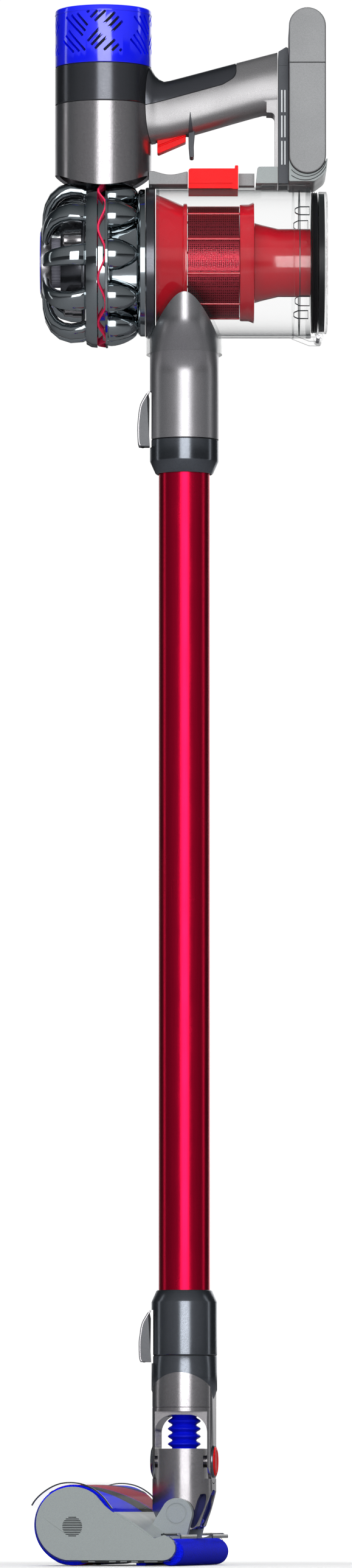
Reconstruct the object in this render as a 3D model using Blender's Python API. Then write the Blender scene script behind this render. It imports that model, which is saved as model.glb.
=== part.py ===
"""Cordless stick vacuum cleaner: main unit with handle, battery and cyclones, clear bin, wand and soft-roller head."""
import math

import bmesh
import bpy
from mathutils import Matrix, Vector

MM = 0.001
SHIFT = Vector((1.819, -6.469, 0.0))    # wand axis to the middle of the bounding box, mm

GAP = 0.3                # clearance between neighbouring pieces
WALL = 2.4               # moulded wall

MOTOR_X = -63.0          # motor column axis
MOTOR_R = 37.5
HOUSING_TOP = 1131.2
UPPER_TOP = 1160.8
CAP_BOTTOM = 1161.2
CAP_TOP = 1206.3

BIN_Z = 1008.8           # cyclone and bin axis
BIN_R = 58.8
BIN_X0 = -22.0
BIN_X1 = 98.4
CONES = 10
CONE_PITCH_R = 56.0
PACK_R = 67.0

GRIP_HALF = 17.0
BATTERY_X0 = 81.3
BATTERY_X1 = 109.8
BATTERY_Z0 = 1074.4
BATTERY_Z1 = 1203.8
BATTERY_HALF = 36.0

WAND_R = 19.8
WAND_TOP = 868.0
WAND_BOTTOM = 166.0
DUCT_R = 26.75
COLLAR_R = 25.4

YOKE_R = 27.0
YOKE_FLAT = 22.7

HEAD_TURN = math.radians(-9.0)
ROLL_Z = 79.7
PITCH_Z = 39.5
HEAD_HALF = 122.0
ROLLER_X = -67.0
ROLLER_Z = 31.0
ROLLER_R = 31.0
REAR_X = 7.0
REAR_R = 10.3

COLOURS = {
    "blue": ((0.01, 0.02, 0.75, 1), 0.45, 0.0),
    "dark_grey": ((0.10, 0.11, 0.13, 1), 0.35, 0.6),
    "mid_grey": ((0.30, 0.31, 0.34, 1), 0.35, 0.7),
    "light_grey": ((0.42, 0.44, 0.46, 1), 0.35, 0.6),
    "shell_grey": ((0.45, 0.48, 0.49, 1), 0.4, 0.2),
    "chrome": ((0.35, 0.38, 0.42, 1), 0.12, 1.0),
    "steel": ((0.55, 0.55, 0.56, 1), 0.3, 1.0),
    "red": ((0.85, 0.005, 0.01, 1), 0.3, 0.0),
    "wand_red": ((0.70, 0.01, 0.08, 1), 0.25, 0.9),
    "gasket": ((0.75, 0.03, 0.10, 1), 0.6, 0.0),
    "clear": ((0.80, 0.86, 0.86, 1), 0.08, 0.0),
    "black": ((0.01, 0.01, 0.012, 1), 0.5, 0.0),
    "felt": ((0.01, 0.02, 0.70, 1), 0.9, 0.0),
    "pleats": ((0.75, 0.76, 0.80, 1), 0.8, 0.0),
}


def clear_scene():
    """Start from an empty scene."""
    for item in list(bpy.data.objects):
        bpy.data.objects.remove(item)


def paint(item, colour):
    """Give one piece its own material."""
    base, rough, metal = COLOURS[colour]
    material = bpy.data.materials.new(item.name + "_" + colour)
    material.use_nodes = True
    shader = material.node_tree.nodes["Principled BSDF"]
    shader.inputs["Base Color"].default_value = base
    shader.inputs["Roughness"].default_value = rough
    shader.inputs["Metallic"].default_value = metal
    material.diffuse_color = base
    item.data.materials.clear()
    item.data.materials.append(material)
    return item


def solid(name, points, faces, smooth=True):
    """Closed mesh from points in mm, faces turned outward."""
    mesh = bpy.data.meshes.new(name)
    mesh.from_pydata([Vector(p) * MM for p in points], [], faces)
    item = bpy.data.objects.new(name, mesh)
    bpy.context.collection.objects.link(item)
    work = bmesh.new()
    work.from_mesh(mesh)
    bmesh.ops.recalc_face_normals(work, faces=work.faces)
    work.to_mesh(mesh)
    work.free()
    for face in mesh.polygons:
        face.use_smooth = smooth
    return item


def turned(name, profile, segments, axis="z", centre=(0, 0, 0), wave=None, phase=0.0):
    """Body of revolution of a closed (radius, height) outline about an axis through centre."""
    points = []
    rings = []
    for radius, height in profile:
        if radius < 1e-6:
            rings.append([len(points)])
            points.append((0, 0, height))
            continue
        ring = []
        for i in range(segments):
            a = 2 * math.pi * i / segments + phase
            r = radius + (wave(a) if wave else 0.0)
            ring.append(len(points))
            points.append((r * math.cos(a), r * math.sin(a), height))
        rings.append(ring)
    faces = []
    for a, b in zip(rings, rings[1:] + rings[:1]):
        if len(a) == 1 and len(b) == 1:
            continue
        for i in range(segments):
            j = (i + 1) % segments
            if len(a) == 1:
                faces.append((a[0], b[i], b[j]))
            elif len(b) == 1:
                faces.append((a[i], a[j], b[0]))
            else:
                faces.append((a[i], a[j], b[j], b[i]))
    turn = {"z": lambda p: p, "x": lambda p: (p[2], p[0], p[1]), "y": lambda p: (p[1], p[2], p[0])}[axis]
    moved = [Vector(turn(p)) + Vector(centre) for p in points]
    return solid(name, moved, faces)


def tube(name, outer, inner, low, high, segments, axis="z", centre=(0, 0, 0)):
    """Plain ring or pipe."""
    profile = [(inner, low), (outer, low), (outer, high), (inner, high)]
    return turned(name, profile, segments, axis, centre)


def rod(name, radius, low, high, segments, axis="z", centre=(0, 0, 0), phase=0.0):
    """Plain solid cylinder."""
    profile = [(0, low), (radius, low), (radius, high), (0, high)]
    return turned(name, profile, segments, axis, centre, phase=phase)


def rounded(corners, steps=4):
    """Outline from (u, v) or (u, v, radius) corners."""
    outline = []
    count = len(corners)
    for i in range(count):
        u, v = corners[i][:2]
        radius = corners[i][2] if len(corners[i]) > 2 else 0
        here = Vector((u, v))
        before = Vector(corners[i - 1][:2]) - here
        after = Vector(corners[(i + 1) % count][:2]) - here
        if radius <= 0:
            outline.append((u, v))
            continue
        half = before.angle(after) / 2
        reach = min(radius / math.tan(half), before.length * 0.49, after.length * 0.49)
        radius = reach * math.tan(half)
        start = here + before.normalized() * reach
        end = here + after.normalized() * reach
        middle = here + (before.normalized() + after.normalized()).normalized() * (radius / math.sin(half))
        first = (start - middle).normalized()
        last = (end - middle).normalized()
        for k in range(steps + 1):
            way = first.lerp(last, k / steps)
            blend = way.normalized() * radius
            outline.append(tuple(middle + blend))
    return outline


def slab(name, outline, low, high, plane="xz", smooth=False):
    """Straight extrusion of an outline: across y for xz, along z for xy, along x for yz."""
    place = {
        "xz": lambda p, t: (p[0], t, p[1]),
        "xy": lambda p, t: (p[0], p[1], t),
        "yz": lambda p, t: (t, p[0], p[1]),
    }[plane]
    count = len(outline)
    points = [place(p, low) for p in outline] + [place(p, high) for p in outline]
    faces = [tuple(range(count)), tuple(range(2 * count - 1, count - 1, -1))]
    for i in range(count):
        j = (i + 1) % count
        faces.append((i, i + count, j + count, j))
    return solid(name, points, faces, smooth)


def block(name, low, high):
    """Box between two corners."""
    outline = [(low[0], low[2]), (high[0], low[2]), (high[0], high[2]), (low[0], high[2])]
    return slab(name, outline, low[1], high[1])


def lofted(name, sections):
    """Skin over equal-length rings of points, closed at both ends."""
    count = len(sections[0])
    points = [p for ring in sections for p in ring]
    faces = [tuple(range(count)), tuple(len(points) - 1 - i for i in range(count))]
    for s in range(len(sections) - 1):
        for i in range(count):
            j = (i + 1) % count
            faces.append((s * count + i, s * count + j, (s + 1) * count + j, (s + 1) * count + i))
    return solid(name, points, faces)


def combine(target, tools, operation, solver="EXACT"):
    """Cut away, join or keep the common part, then drop the tool shapes."""
    for tool in tools if isinstance(tools, list) else [tools]:
        step = target.modifiers.new("step", "BOOLEAN")
        step.solver = solver
        step.operation = operation
        step.object = tool
        bpy.context.view_layer.update()
        shaped = bpy.data.meshes.new_from_object(target.evaluated_get(bpy.context.evaluated_depsgraph_get()))
        target.modifiers.clear()
        target.data = shaped
        bpy.data.objects.remove(tool)
    return target


def cut(target, tools, solver="EXACT"):
    return combine(target, tools, "DIFFERENCE", solver)


def join(target, tools):
    return combine(target, tools, "UNION")


def keep(target, tools):
    return combine(target, tools, "INTERSECT")


def pivot(name, place, parent=None, turn=0.0):
    """Empty on a joint's axis; place is in world mm."""
    item = bpy.data.objects.new(name, None)
    bpy.context.collection.objects.link(item)
    item.rotation_euler = (0, 0, turn)
    item.location = Vector(place) * MM
    bpy.context.view_layer.update()
    if parent:
        item.parent = parent
        item.matrix_parent_inverse = parent.matrix_world.inverted()
    bpy.context.view_layer.update()
    return item


def hang(items, parent):
    """Parent pieces to an empty and leave them where they are."""
    bpy.context.view_layer.update()
    for item in items:
        item.parent = parent
        item.matrix_parent_inverse = parent.matrix_world.inverted()


def motor_column():
    """Blue filter cap over the motor housing, with the motor and its impeller inside."""
    centre = (MOTOR_X, 0, 0)
    inner = MOTOR_R - WALL
    lower = tube("lower_housing", MOTOR_R, inner, 1046, HOUSING_TOP, 48, centre=centre)
    join(lower, tube("floor", MOTOR_R - 1, 14, 1078.4, 1081.4, 24, centre=centre))
    cut(lower, rod("saddle", PACK_R + 1.0, -120, 0, 48, "x", (0, 0, BIN_Z), 0.031), "MANIFOLD")
    paint(lower, "mid_grey")
    upper = tube("upper_housing", MOTOR_R, inner, HOUSING_TOP + GAP, UPPER_TOP, 48, centre=centre)
    paint(upper, "dark_grey")
    cap_profile = [
        (inner, CAP_BOTTOM), (MOTOR_R, CAP_BOTTOM), (MOTOR_R, CAP_TOP - 3), (MOTOR_R - 3, CAP_TOP),
        (0, CAP_TOP), (0, CAP_TOP - WALL), (inner - 1, CAP_TOP - WALL), (inner, CAP_TOP - 4),
    ]
    cap = paint(turned("filter_cap", cap_profile, 40, centre=centre), "blue")
    element = tube("filter_element", inner - 1.5, 23, CAP_BOTTOM + 1, CAP_TOP - 5, 24, centre=centre)
    paint(element, "pleats")
    motor = tube("motor_body", 31, 5, 1082, 1126, 24, centre=centre)
    paint(motor, "steel")
    rotor_profile = [
        (0, 1084), (3.5, 1084), (3.5, 1130), (27, 1130), (27, 1132), (12, 1142), (0, 1142),
    ]
    rotor = paint(turned("motor_rotor", rotor_profile, 24, centre=centre), "black")
    return cap, element, rotor, [lower, upper, motor]


def finger(name, angle):
    """One curved duct from the scroll ring round to the end disc."""
    path = [(-78.5, 56), (-91, 56), (-102.5, 46), (-107, 25)]
    wide = [7.0, 6.6, 5.4, 3.6]
    deep = [4.5, 4.5, 4.3, 2.8]
    sections = []
    for k, (x, r) in enumerate(path):
        before = Vector(path[max(k - 1, 0)])
        after = Vector(path[min(k + 1, len(path) - 1)])
        way = (after - before).normalized()
        side = Vector((-way.y, way.x))
        ring = []
        for u, v in [(1, 0.4), (0.5, 1), (-0.5, 1), (-1, 0.4), (-1, -0.8), (1, -0.8)]:
            px = x + side.x * v * deep[k]
            pr = r + side.y * v * deep[k]
            t = u * wide[k]
            ring.append((px, pr * math.cos(angle) - t * math.sin(angle),
                         BIN_Z + pr * math.sin(angle) + t * math.cos(angle)))
        sections.append(ring)
    return lofted(name, sections)


def cyclones():
    """Ring of tapering cyclones, wavy gasket, scroll ring, curved ducts and the pull-out prefilter."""
    centre = (0, 0, BIN_Z)
    core = [(24, -61.6), (66, -61.6), (66, -58), (44, -57), (43, -31), (24, -31)]
    pack = turned("cyclone_pack", core, 40, "x", centre)
    for i in range(CONES):
        a = 2 * math.pi * (i + 0.5) / CONES + math.pi / 2 - math.pi / CONES
        place = (0, CONE_PITCH_R * math.cos(a), BIN_Z + CONE_PITCH_R * math.sin(a))
        cone = [(0, -59.5), (10.6, -59.5), (4.8, -34), (0, -34)]
        join(pack, turned("cone", cone, 8, "x", place, phase=a + 0.05))
    paint(pack, "chrome")
    gasket_edge = [(60, -65.9), (PACK_R - 0.7, -65.9), (PACK_R - 0.7, -62), (60, -62)]
    gasket = turned("cyclone_gasket", gasket_edge, 40, "x", centre, lambda a: 0.7 * math.cos(CONES * a))
    paint(gasket, "gasket")
    scroll_edge = [(50, -77), (64.5, -77), (65.5, -66.3), (50, -66.3)]
    scroll = turned("scroll_ring", scroll_edge, 40, "x", centre, lambda a: 1.2 * math.cos(CONES * a))
    paint(scroll, "chrome")
    ducts = turned("cyclone_ducts", [(24, -80), (62, -80), (62, -77.4), (24, -77.4)], 40, "x", centre)
    for i in range(CONES):
        join(ducts, finger("finger", 2 * math.pi * i / CONES + math.pi / 2))
    join(ducts, tube("end_disc", 27.8, 21, -111.3, -105.4, 32, "x", centre))
    paint(ducts, "chrome")
    inner = tube("inner_cyclones", 48, 24, -83, -80.4, 24, "x", centre)
    for i in range(5):
        a = 2 * math.pi * i / 5 + math.pi / 2
        place = (0, 41 * math.cos(a), BIN_Z + 41 * math.sin(a))
        join(inner, rod("inner_cone", 6.2, -93, -82, 8, "x", place))
    paint(inner, "mid_grey")
    cap_edge = [(0, -112.3), (25, -112.3), (25, -111.6), (20.6, -111.6), (20.6, -106), (0, -106)]
    cap = paint(turned("prefilter_cap", cap_edge, 32, "x", centre), "blue")
    sleeve = paint(tube("prefilter_sleeve", 19.8, 15, -105.7, -84, 24, "x", centre), "pleats")
    return cap, sleeve, [pack, gasket, scroll, ducts, inner]


def shroud():
    """Red cone, mesh screen, skirt and the fines tube inside the clear bin."""
    centre = (0, 0, BIN_Z)
    collar = tube("bin_collar", 58.6, 49, -30.2, -22.4, 40, "x", centre)
    paint(collar, "dark_grey")
    cone_edge = [(51, -22), (53.5, -22), (44.6, -0.6), (46, -0.6), (46, 2.3), (41, 2.3), (41, -0.6)]
    cone = paint(turned("shroud_cone", cone_edge, 32, "x", centre), "red")
    mesh = paint(tube("shroud_mesh", 43.7, 42.6, 2.6, 42.8, 32, "x", centre), "steel")
    skirt_edge = [(42, 43.1), (45, 43.1), (47, 54.3), (31.8, 54.3), (31.8, 52), (42, 52)]
    skirt = paint(turned("shroud_skirt", skirt_edge, 32, "x", centre), "red")
    fines_edge = [(31.3, 54.6), (26.5, 72.9), (26.5, 98.1), (24.6, 98.1), (24.6, 72.9), (29.4, 54.6)]
    fines = paint(turned("fines_tube", fines_edge, 32, "x", centre), "red")
    return [collar, cone, mesh, skirt, fines]


def dust_bin():
    """Clear bin with its seal, hinged lid and release slider."""
    centre = (0, 0, BIN_Z)
    tank = rod("bin", BIN_R, BIN_X0, BIN_X1, 40, "x", centre)
    join(tank, block("ledge", (60, -24, 1050), (97.8, 24, 1067.9)))
    lug_y = 12.0
    for side in (-1, 1):
        low, high = sorted((side * lug_y, side * (lug_y + 5)))
        outline = rounded([(86, 953), (86, 949), (97, 945.5), (108, 945.3, 3.8), (108, 952.9, 3.8), (97, 952.9)])
        join(tank, slab("lug", outline, low, high))
    cut(tank, rod("hollow", BIN_R - 2.2, BIN_X0 - 5, BIN_X1 + 5, 40, "x", centre))
    cut(tank, rod("port", 18, 930, 970, 24, phase=0.031), "MANIFOLD")
    cut(tank, rod("pin_hole", 1.8, -30, 30, 12, "y", (104, 0, 949.2), 0.031), "MANIFOLD")
    paint(tank, "clear")
    seal = paint(tube("bin_seal", 55, 50, 98.7, 103.5, 40, "x", centre), "black")
    lid_edge = [(0, 108.6), (51.5, 108.6), (51.5, 104.1), (55.3, 104.1), (55.3, 111.2), (0, 111.2)]
    lid = turned("bin_lid", lid_edge, 40, "x", centre)
    arm = rounded([(104.3, 953.1, 0), (100.3, 953.1, 3.9), (100.3, 945.3, 3.9), (108, 945.3, 3.9), (109.5, 957, 0),
                   (105, 957, 0)])
    join(lid, slab("arm", arm, -lug_y + 0.4, lug_y - 0.4))
    cut(lid, rod("pin_hole", 1.8, -30, 30, 12, "y", (104, 0, 949.2), 0.031))
    paint(lid, "clear")
    pin = paint(rod("lid_pin", 1.5, -16.8, 16.8, 12, "y", (104, 0, 949.2)), "steel")
    slider = slab("release_slider", rounded([(3.1, 1055), (39.1, 1055), (39.1, 1059), (42, 1059), (42, 1082.4, 1),
                                             (39.1, 1082.4, 1), (39.1, 1080), (3.1, 1080, 2)]), -22, 22)
    cut(slider, rod("bin_curve", BIN_R + GAP, 0, 50, 48, "x", centre))
    paint(slider, "red")
    bar = paint(block("push_bar", (42.3, -6, 1068.6), (54.6, 6, 1078)), "light_grey")
    return lid, [tank, seal, pin, slider, bar]


def grip_section(x, top, bottom, half):
    """Rounded cross-section of the handle at one station."""
    ring = []
    for k in range(20):
        a = 2 * math.pi * k / 20
        c, s = math.cos(a), math.sin(a)
        y = half * math.copysign(abs(c) ** 0.75, c)
        z = (top + bottom) / 2 + (top - bottom) / 2 * math.copysign(abs(s) ** 0.8, s)
        ring.append((x, y, z))
    return ring


def handle():
    """Light lower grip with finger guard and rear wall, dark cover above it, and the red trigger."""
    stations = [
        (-48, 1172, 1097, 19), (-25.5, 1161, 1101.6, 18.4), (-22, 1155, 1102.2, 17.4), (-15.7, 1150.2, 1103.4, GRIP_HALF),
        (0, 1154.2, 1106.3, GRIP_HALF), (36, 1163.8, 1115, GRIP_HALF), (72.6, 1173.4, 1124.2, GRIP_HALF),
    ]
    body = lofted("handle_grip", [grip_section(*s) for s in stations])
    wall = rounded([(72.6, 1082, 0), (72.6, 1160, 0), (58, 1156, 0), (58, 1119, 0), (69.3, 1121.8, 8), (69.3, 1082, 0)])
    join(body, slab("wall", wall, -GRIP_HALF + 2, GRIP_HALF - 2))
    guard = rounded([(2.7, 1090.2, 1.5), (7.5, 1090.2, 1.5), (8.6, 1104, 3), (14, 1112, 0), (10, 1120, 0), (2.7, 1118, 0)])
    join(body, slab("guard", guard, -9, 9))
    cut(body, rod("housing_gap", MOTOR_R + GAP, 1060, 1190, 48, centre=(MOTOR_X, 0, 0)))
    cut(body, block("trigger_pocket", (-22, -7.6, 1085), (2.4, 7.6, 1117)))
    seam = rounded([(-60, 1130.5, 0), (-28, 1130.5, 10), (31.6, 1146.5, 8), (40.3, 1152, 6), (40.3, 1200, 0), (-60, 1200, 0)])
    cover = body.copy()
    cover.data = body.data.copy()
    cover.name = "handle_cover"
    bpy.context.collection.objects.link(cover)
    inset = rounded([(-60, 1130.9, 0), (-28, 1130.9, 10), (31.4, 1146.8, 8), (40, 1152.2, 6), (40, 1200, 0), (-60, 1200, 0)])
    keep(cover, slab("seam", inset, -30, 30))
    cut(body, slab("seam", seam, -30, 30))
    paint(body, "light_grey")
    paint(cover, "dark_grey")
    trigger = rounded([(-21, 1093, 1), (1.2, 1102.8, 1), (1.2, 1110.6, 3), (-2, 1112.5, 3), (-21, 1106.5, 1)])
    lever = paint(slab("trigger", trigger, -7, 7), "red")
    return lever, [body, cover]


def stadium(x0, x1, z0, z1, steps=8):
    """Outline with full-round top and bottom."""
    r = (x1 - x0) / 2
    middle = (x0 + x1) / 2
    outline = [(middle + r * math.cos(a), z1 - r + r * math.sin(a)) for a in (math.pi * k / steps for k in range(steps + 1))]
    outline += [(middle - r * math.cos(a), z0 + r - r * math.sin(a)) for a in (math.pi * k / steps for k in range(steps + 1))]
    return outline


def rear_end():
    """Dark strip, base and rail beside the finger opening, and the battery with its cells."""
    strip = slab("post_strip", rounded([(73, 1068.4), (81, 1068.4), (81, 1178.2, 1.5), (73, 1171.4)]), -20, 20)
    paint(strip, "dark_grey")
    base = slab("base_block", rounded([(55.3, 1068.4), (72.6, 1068.4), (72.6, 1081.6), (56, 1081.6, 1)]), -20, 20)
    cut(base, block("bar_pocket", (50, -6.6, 1068), (70, 6.6, 1078.6)))
    paint(base, "shell_grey")
    case = slab("battery_case", stadium(BATTERY_X0, BATTERY_X1, BATTERY_Z0, BATTERY_Z1), -33.6, BATTERY_HALF)
    room = stadium(BATTERY_X0 + WALL, BATTERY_X1 - WALL, BATTERY_Z0 + WALL, BATTERY_Z1 - WALL)
    cut(case, slab("room", room, -40, BATTERY_HALF - WALL))
    paint(case, "light_grey")
    plate = slab("battery_plate", stadium(BATTERY_X0, BATTERY_X1, BATTERY_Z0, BATTERY_Z1), -BATTERY_HALF, -33.9)
    paint(plate, "light_grey")
    foot = slab("battery_base", rounded([(81.3, 1068.4), (105, 1068.4, 6), (112, 1078, 6), (109, 1088, 0), (81.3, 1088, 0)]),
                -33, 33)
    cut(foot, slab("seat", stadium(BATTERY_X0 - 1, BATTERY_X1 + GAP, BATTERY_Z0 - GAP, BATTERY_Z1), -40, 40))
    paint(foot, "shell_grey")
    cells = rod("battery_cells", 9, -30, 31, 16, "y", (95.55, 0, 1090))
    for i in range(1, 6):
        join(cells, rod("cell", 9, -30, 31, 16, "y", (95.55, 0, 1090 + 17.6 * i)))
    paint(cells, "black")
    rail = slab("rail", rounded([(-27.6, 1068.4), (2.8, 1068.4), (2.8, 1079, 1), (-12.4, 1075.6, 30), (-22, 1079, 1)]), -14, 14)
    cut(rail, rod("housing_gap", MOTOR_R + GAP, 1060, 1190, 48, centre=(MOTOR_X, 0, 0)))
    paint(rail, "mid_grey")
    return [strip, base, case, plate, foot, cells, rail]


def oval(rx, ry, z, count=28):
    """Ellipse at one height."""
    return [(rx * math.cos(2 * math.pi * k / count), ry * math.sin(2 * math.pi * k / count), z) for k in range(count)]


def flare(name, grow, low):
    """Inlet duct shape: round below, widening across the machine under the bin."""
    steps = [(870.2, 0), (924, 0), (936, 5), (946, 15), (954, 23), (962, 25.4), (1000, 25.4)]
    sections = [oval(DUCT_R + grow, DUCT_R + grow + wide, z) for z, wide in steps if z >= low]
    return lofted(name, sections)


def press_plate(name, z0, z1, out):
    """Thin outer plate of a side release button, standing off the pad behind it."""
    outline = rounded([(-7.5, z0, 2.5), (7.5, z0, 2.5), (7.5, z1 - 10, 3), (2, z1, 1.5), (-2, z1, 1.5), (-7.5, z1 - 10, 3)])
    return paint(slab(name, outline, out, out + 2.0, "yz"), "light_grey")


def press_pad(z0, z1, out):
    """Raised pad that carries a side release button."""
    outline = rounded([(-6.3, z0), (6.3, z0), (6.3, z1 - 8, 2), (2, z1, 1.5), (-2, z1, 1.5), (-6.3, z1 - 8, 2)], 2)
    return slab("pad", outline, out, -22, "yz")


def inlet_and_wand():
    """Metallic inlet duct, clear frame, collars, release buttons and the long red tube."""
    saddle = (0, 0, BIN_Z)
    duct = flare("inlet_duct", 0, 0)
    join(duct, press_pad(871, 904, -30.2))
    cut(duct, rod("bin_curve", BIN_R + GAP, -60, 60, 48, "x", saddle))
    cut(duct, rod("bore", 20.6, 860, 1000, 32))
    paint(duct, "mid_grey")
    frame = flare("inlet_frame", 2.8, 935)
    cut(frame, flare("inside", GAP, 0))
    cut(frame, rod("bin_curve", BIN_R + GAP, -60, 60, 48, "x", saddle))
    paint(frame, "clear")
    top_edge = [(20.1, 843.6), (22, 843.6), (DUCT_R, 853.7), (DUCT_R, 869.8), (20.1, 869.8)]
    collar = paint(turned("upper_collar", top_edge, 40), "mid_grey")
    wand = paint(tube("wand_tube", WAND_R, WAND_R - 1.8, WAND_BOTTOM, WAND_TOP, 32), "wand_red")
    low_edge = [(0, 161.2), (COLLAR_R, 161.2), (COLLAR_R, 202.5), (21.2, 211.4), (0, 211.4)]
    lower = turned("lower_collar", low_edge, 40)
    join(lower, press_pad(163, 192, -29.7))
    cut(lower, rod("bore", 20.1, 150, 220, 40))
    paint(lower, "mid_grey")
    upper_press = press_plate("wand_button", 864.4, 907.6, -33.7)
    lower_press = press_plate("head_button", 155.5, 195.7, -33.2)
    return upper_press, lower_press, [duct, frame, collar, wand, lower]


def bellows(name, top, bottom, crest, root, inner, folds, axis="z", centre=(0, 0, 0)):
    """Corrugated hose with evenly spaced crests."""
    pitch = (top - bottom) / folds
    profile = [(inner, bottom), (root, bottom)]
    for i in range(folds):
        z = bottom + pitch * i
        profile += [(crest, z + pitch * 0.35), (crest, z + pitch * 0.65), (root, z + pitch)]
    profile += [(inner, top)]
    return paint(turned(name, profile, 16, axis, centre), "blue")


def neck():
    """Yoke under the wand, upper bellows, roll caps and the lower neck between the head ears."""
    yoke = turned("yoke", [(0, 60), (YOKE_R, 60), (YOKE_R, 135), (25.7, 148.7), (0, 148.7)], 40)
    arch = [(-YOKE_FLAT, 60), (YOKE_FLAT, 60), (YOKE_FLAT, 137)]
    arch += [(28.6 * math.sin(a), 120.1 + 28.6 * math.cos(a)) for a in (math.radians(48 - 12 * k) for k in range(9))]
    keep(yoke, slab("arch", arch + [(-YOKE_FLAT, 137)], -30, 30))
    legs = rounded([(-30, 118), (-17, 118), (-17, 62.7, 16.9), (17, 62.7, 16.9), (17, 118), (30, 118), (30, 160), (-30, 160)], 6)
    keep(yoke, slab("legs", legs, -30, 30, "yz"))
    window = rounded([(-20.4, 50), (20.4, 50), (20.4, 115.5, 15), (-20.4, 115.5, 15)], 5)
    cut(yoke, slab("window", window, -32, 32))
    join(yoke, turned("neck_collar", [(0, 123), (21.4, 124.8), (COLLAR_R, 134.3), (COLLAR_R, 160.7), (0, 160.7)], 32, phase=0.03))
    cut(yoke, rod("bore", 13.6, 100, 170, 20, phase=0.017))
    cut(yoke, rod("socket", 20.4, 137, 170, 24, phase=0.031))
    cut(yoke, rod("roll_hole", 5, -40, 40, 12, "x", (0, 0, ROLL_Z), 0.031))
    paint(yoke, "mid_grey")
    caps = []
    for name, side, colour in (("roll_cap_rear", 1, "red"), ("roll_cap_front", -1, "mid_grey")):
        edge = [(0, 14.2 * side), (4.7, 14.2 * side), (4.7, 23.0 * side), (11.6, 23.0 * side), (11.6, 24.4 * side),
                (10.6, 25.2 * side), (0, 25.2 * side)]
        caps.append(paint(turned(name, edge, 24, "x", (0, 0, ROLL_Z)), colour))
    lower = rod("lower_neck", YOKE_R - 0.2, 26, 89.4, 40, phase=0.02)
    side_view = [(-YOKE_FLAT, 40), (-12, 28), (9, 28), (13, 30), (YOKE_FLAT, 57), (YOKE_FLAT, 90), (-YOKE_FLAT, 90)]
    keep(lower, slab("side_view", side_view, -30, 30))
    for side in (-1, 1):
        low, high = sorted((side * 17.4, side * 30))
        cut(lower, rod("arm_seat", 17.4, low, high, 24, "x", (0, 0, ROLL_Z), 0.017))
        cut(lower, block("arm_room", (low, -30, 66.4), (high, 30, 95)))
    join(lower, rod("barrel", 12, -29.4, 29.4, 24, "y", (0, 0, PITCH_Z), 0.02))
    cut(lower, rod("throat", 13.4, 58, 95, 20, phase=0.017))
    cut(lower, rod("roll_hole", 5, -24, 24, 12, "x", (0, 0, ROLL_Z), 0.031))
    cut(lower, block("rear_window", (5.2, -8.7, 20), (30, 8.7, 57.8)))
    cut(lower, rod("pin_hole", 4.4, -40, 40, 16, "y", (0, 0, PITCH_Z)))
    paint(lower, "mid_grey")
    upper_hose = bellows("upper_bellows", 117.2, 64.4, 12.7, 9.3, 7.8, 9)
    return yoke, upper_hose, caps, lower


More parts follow.
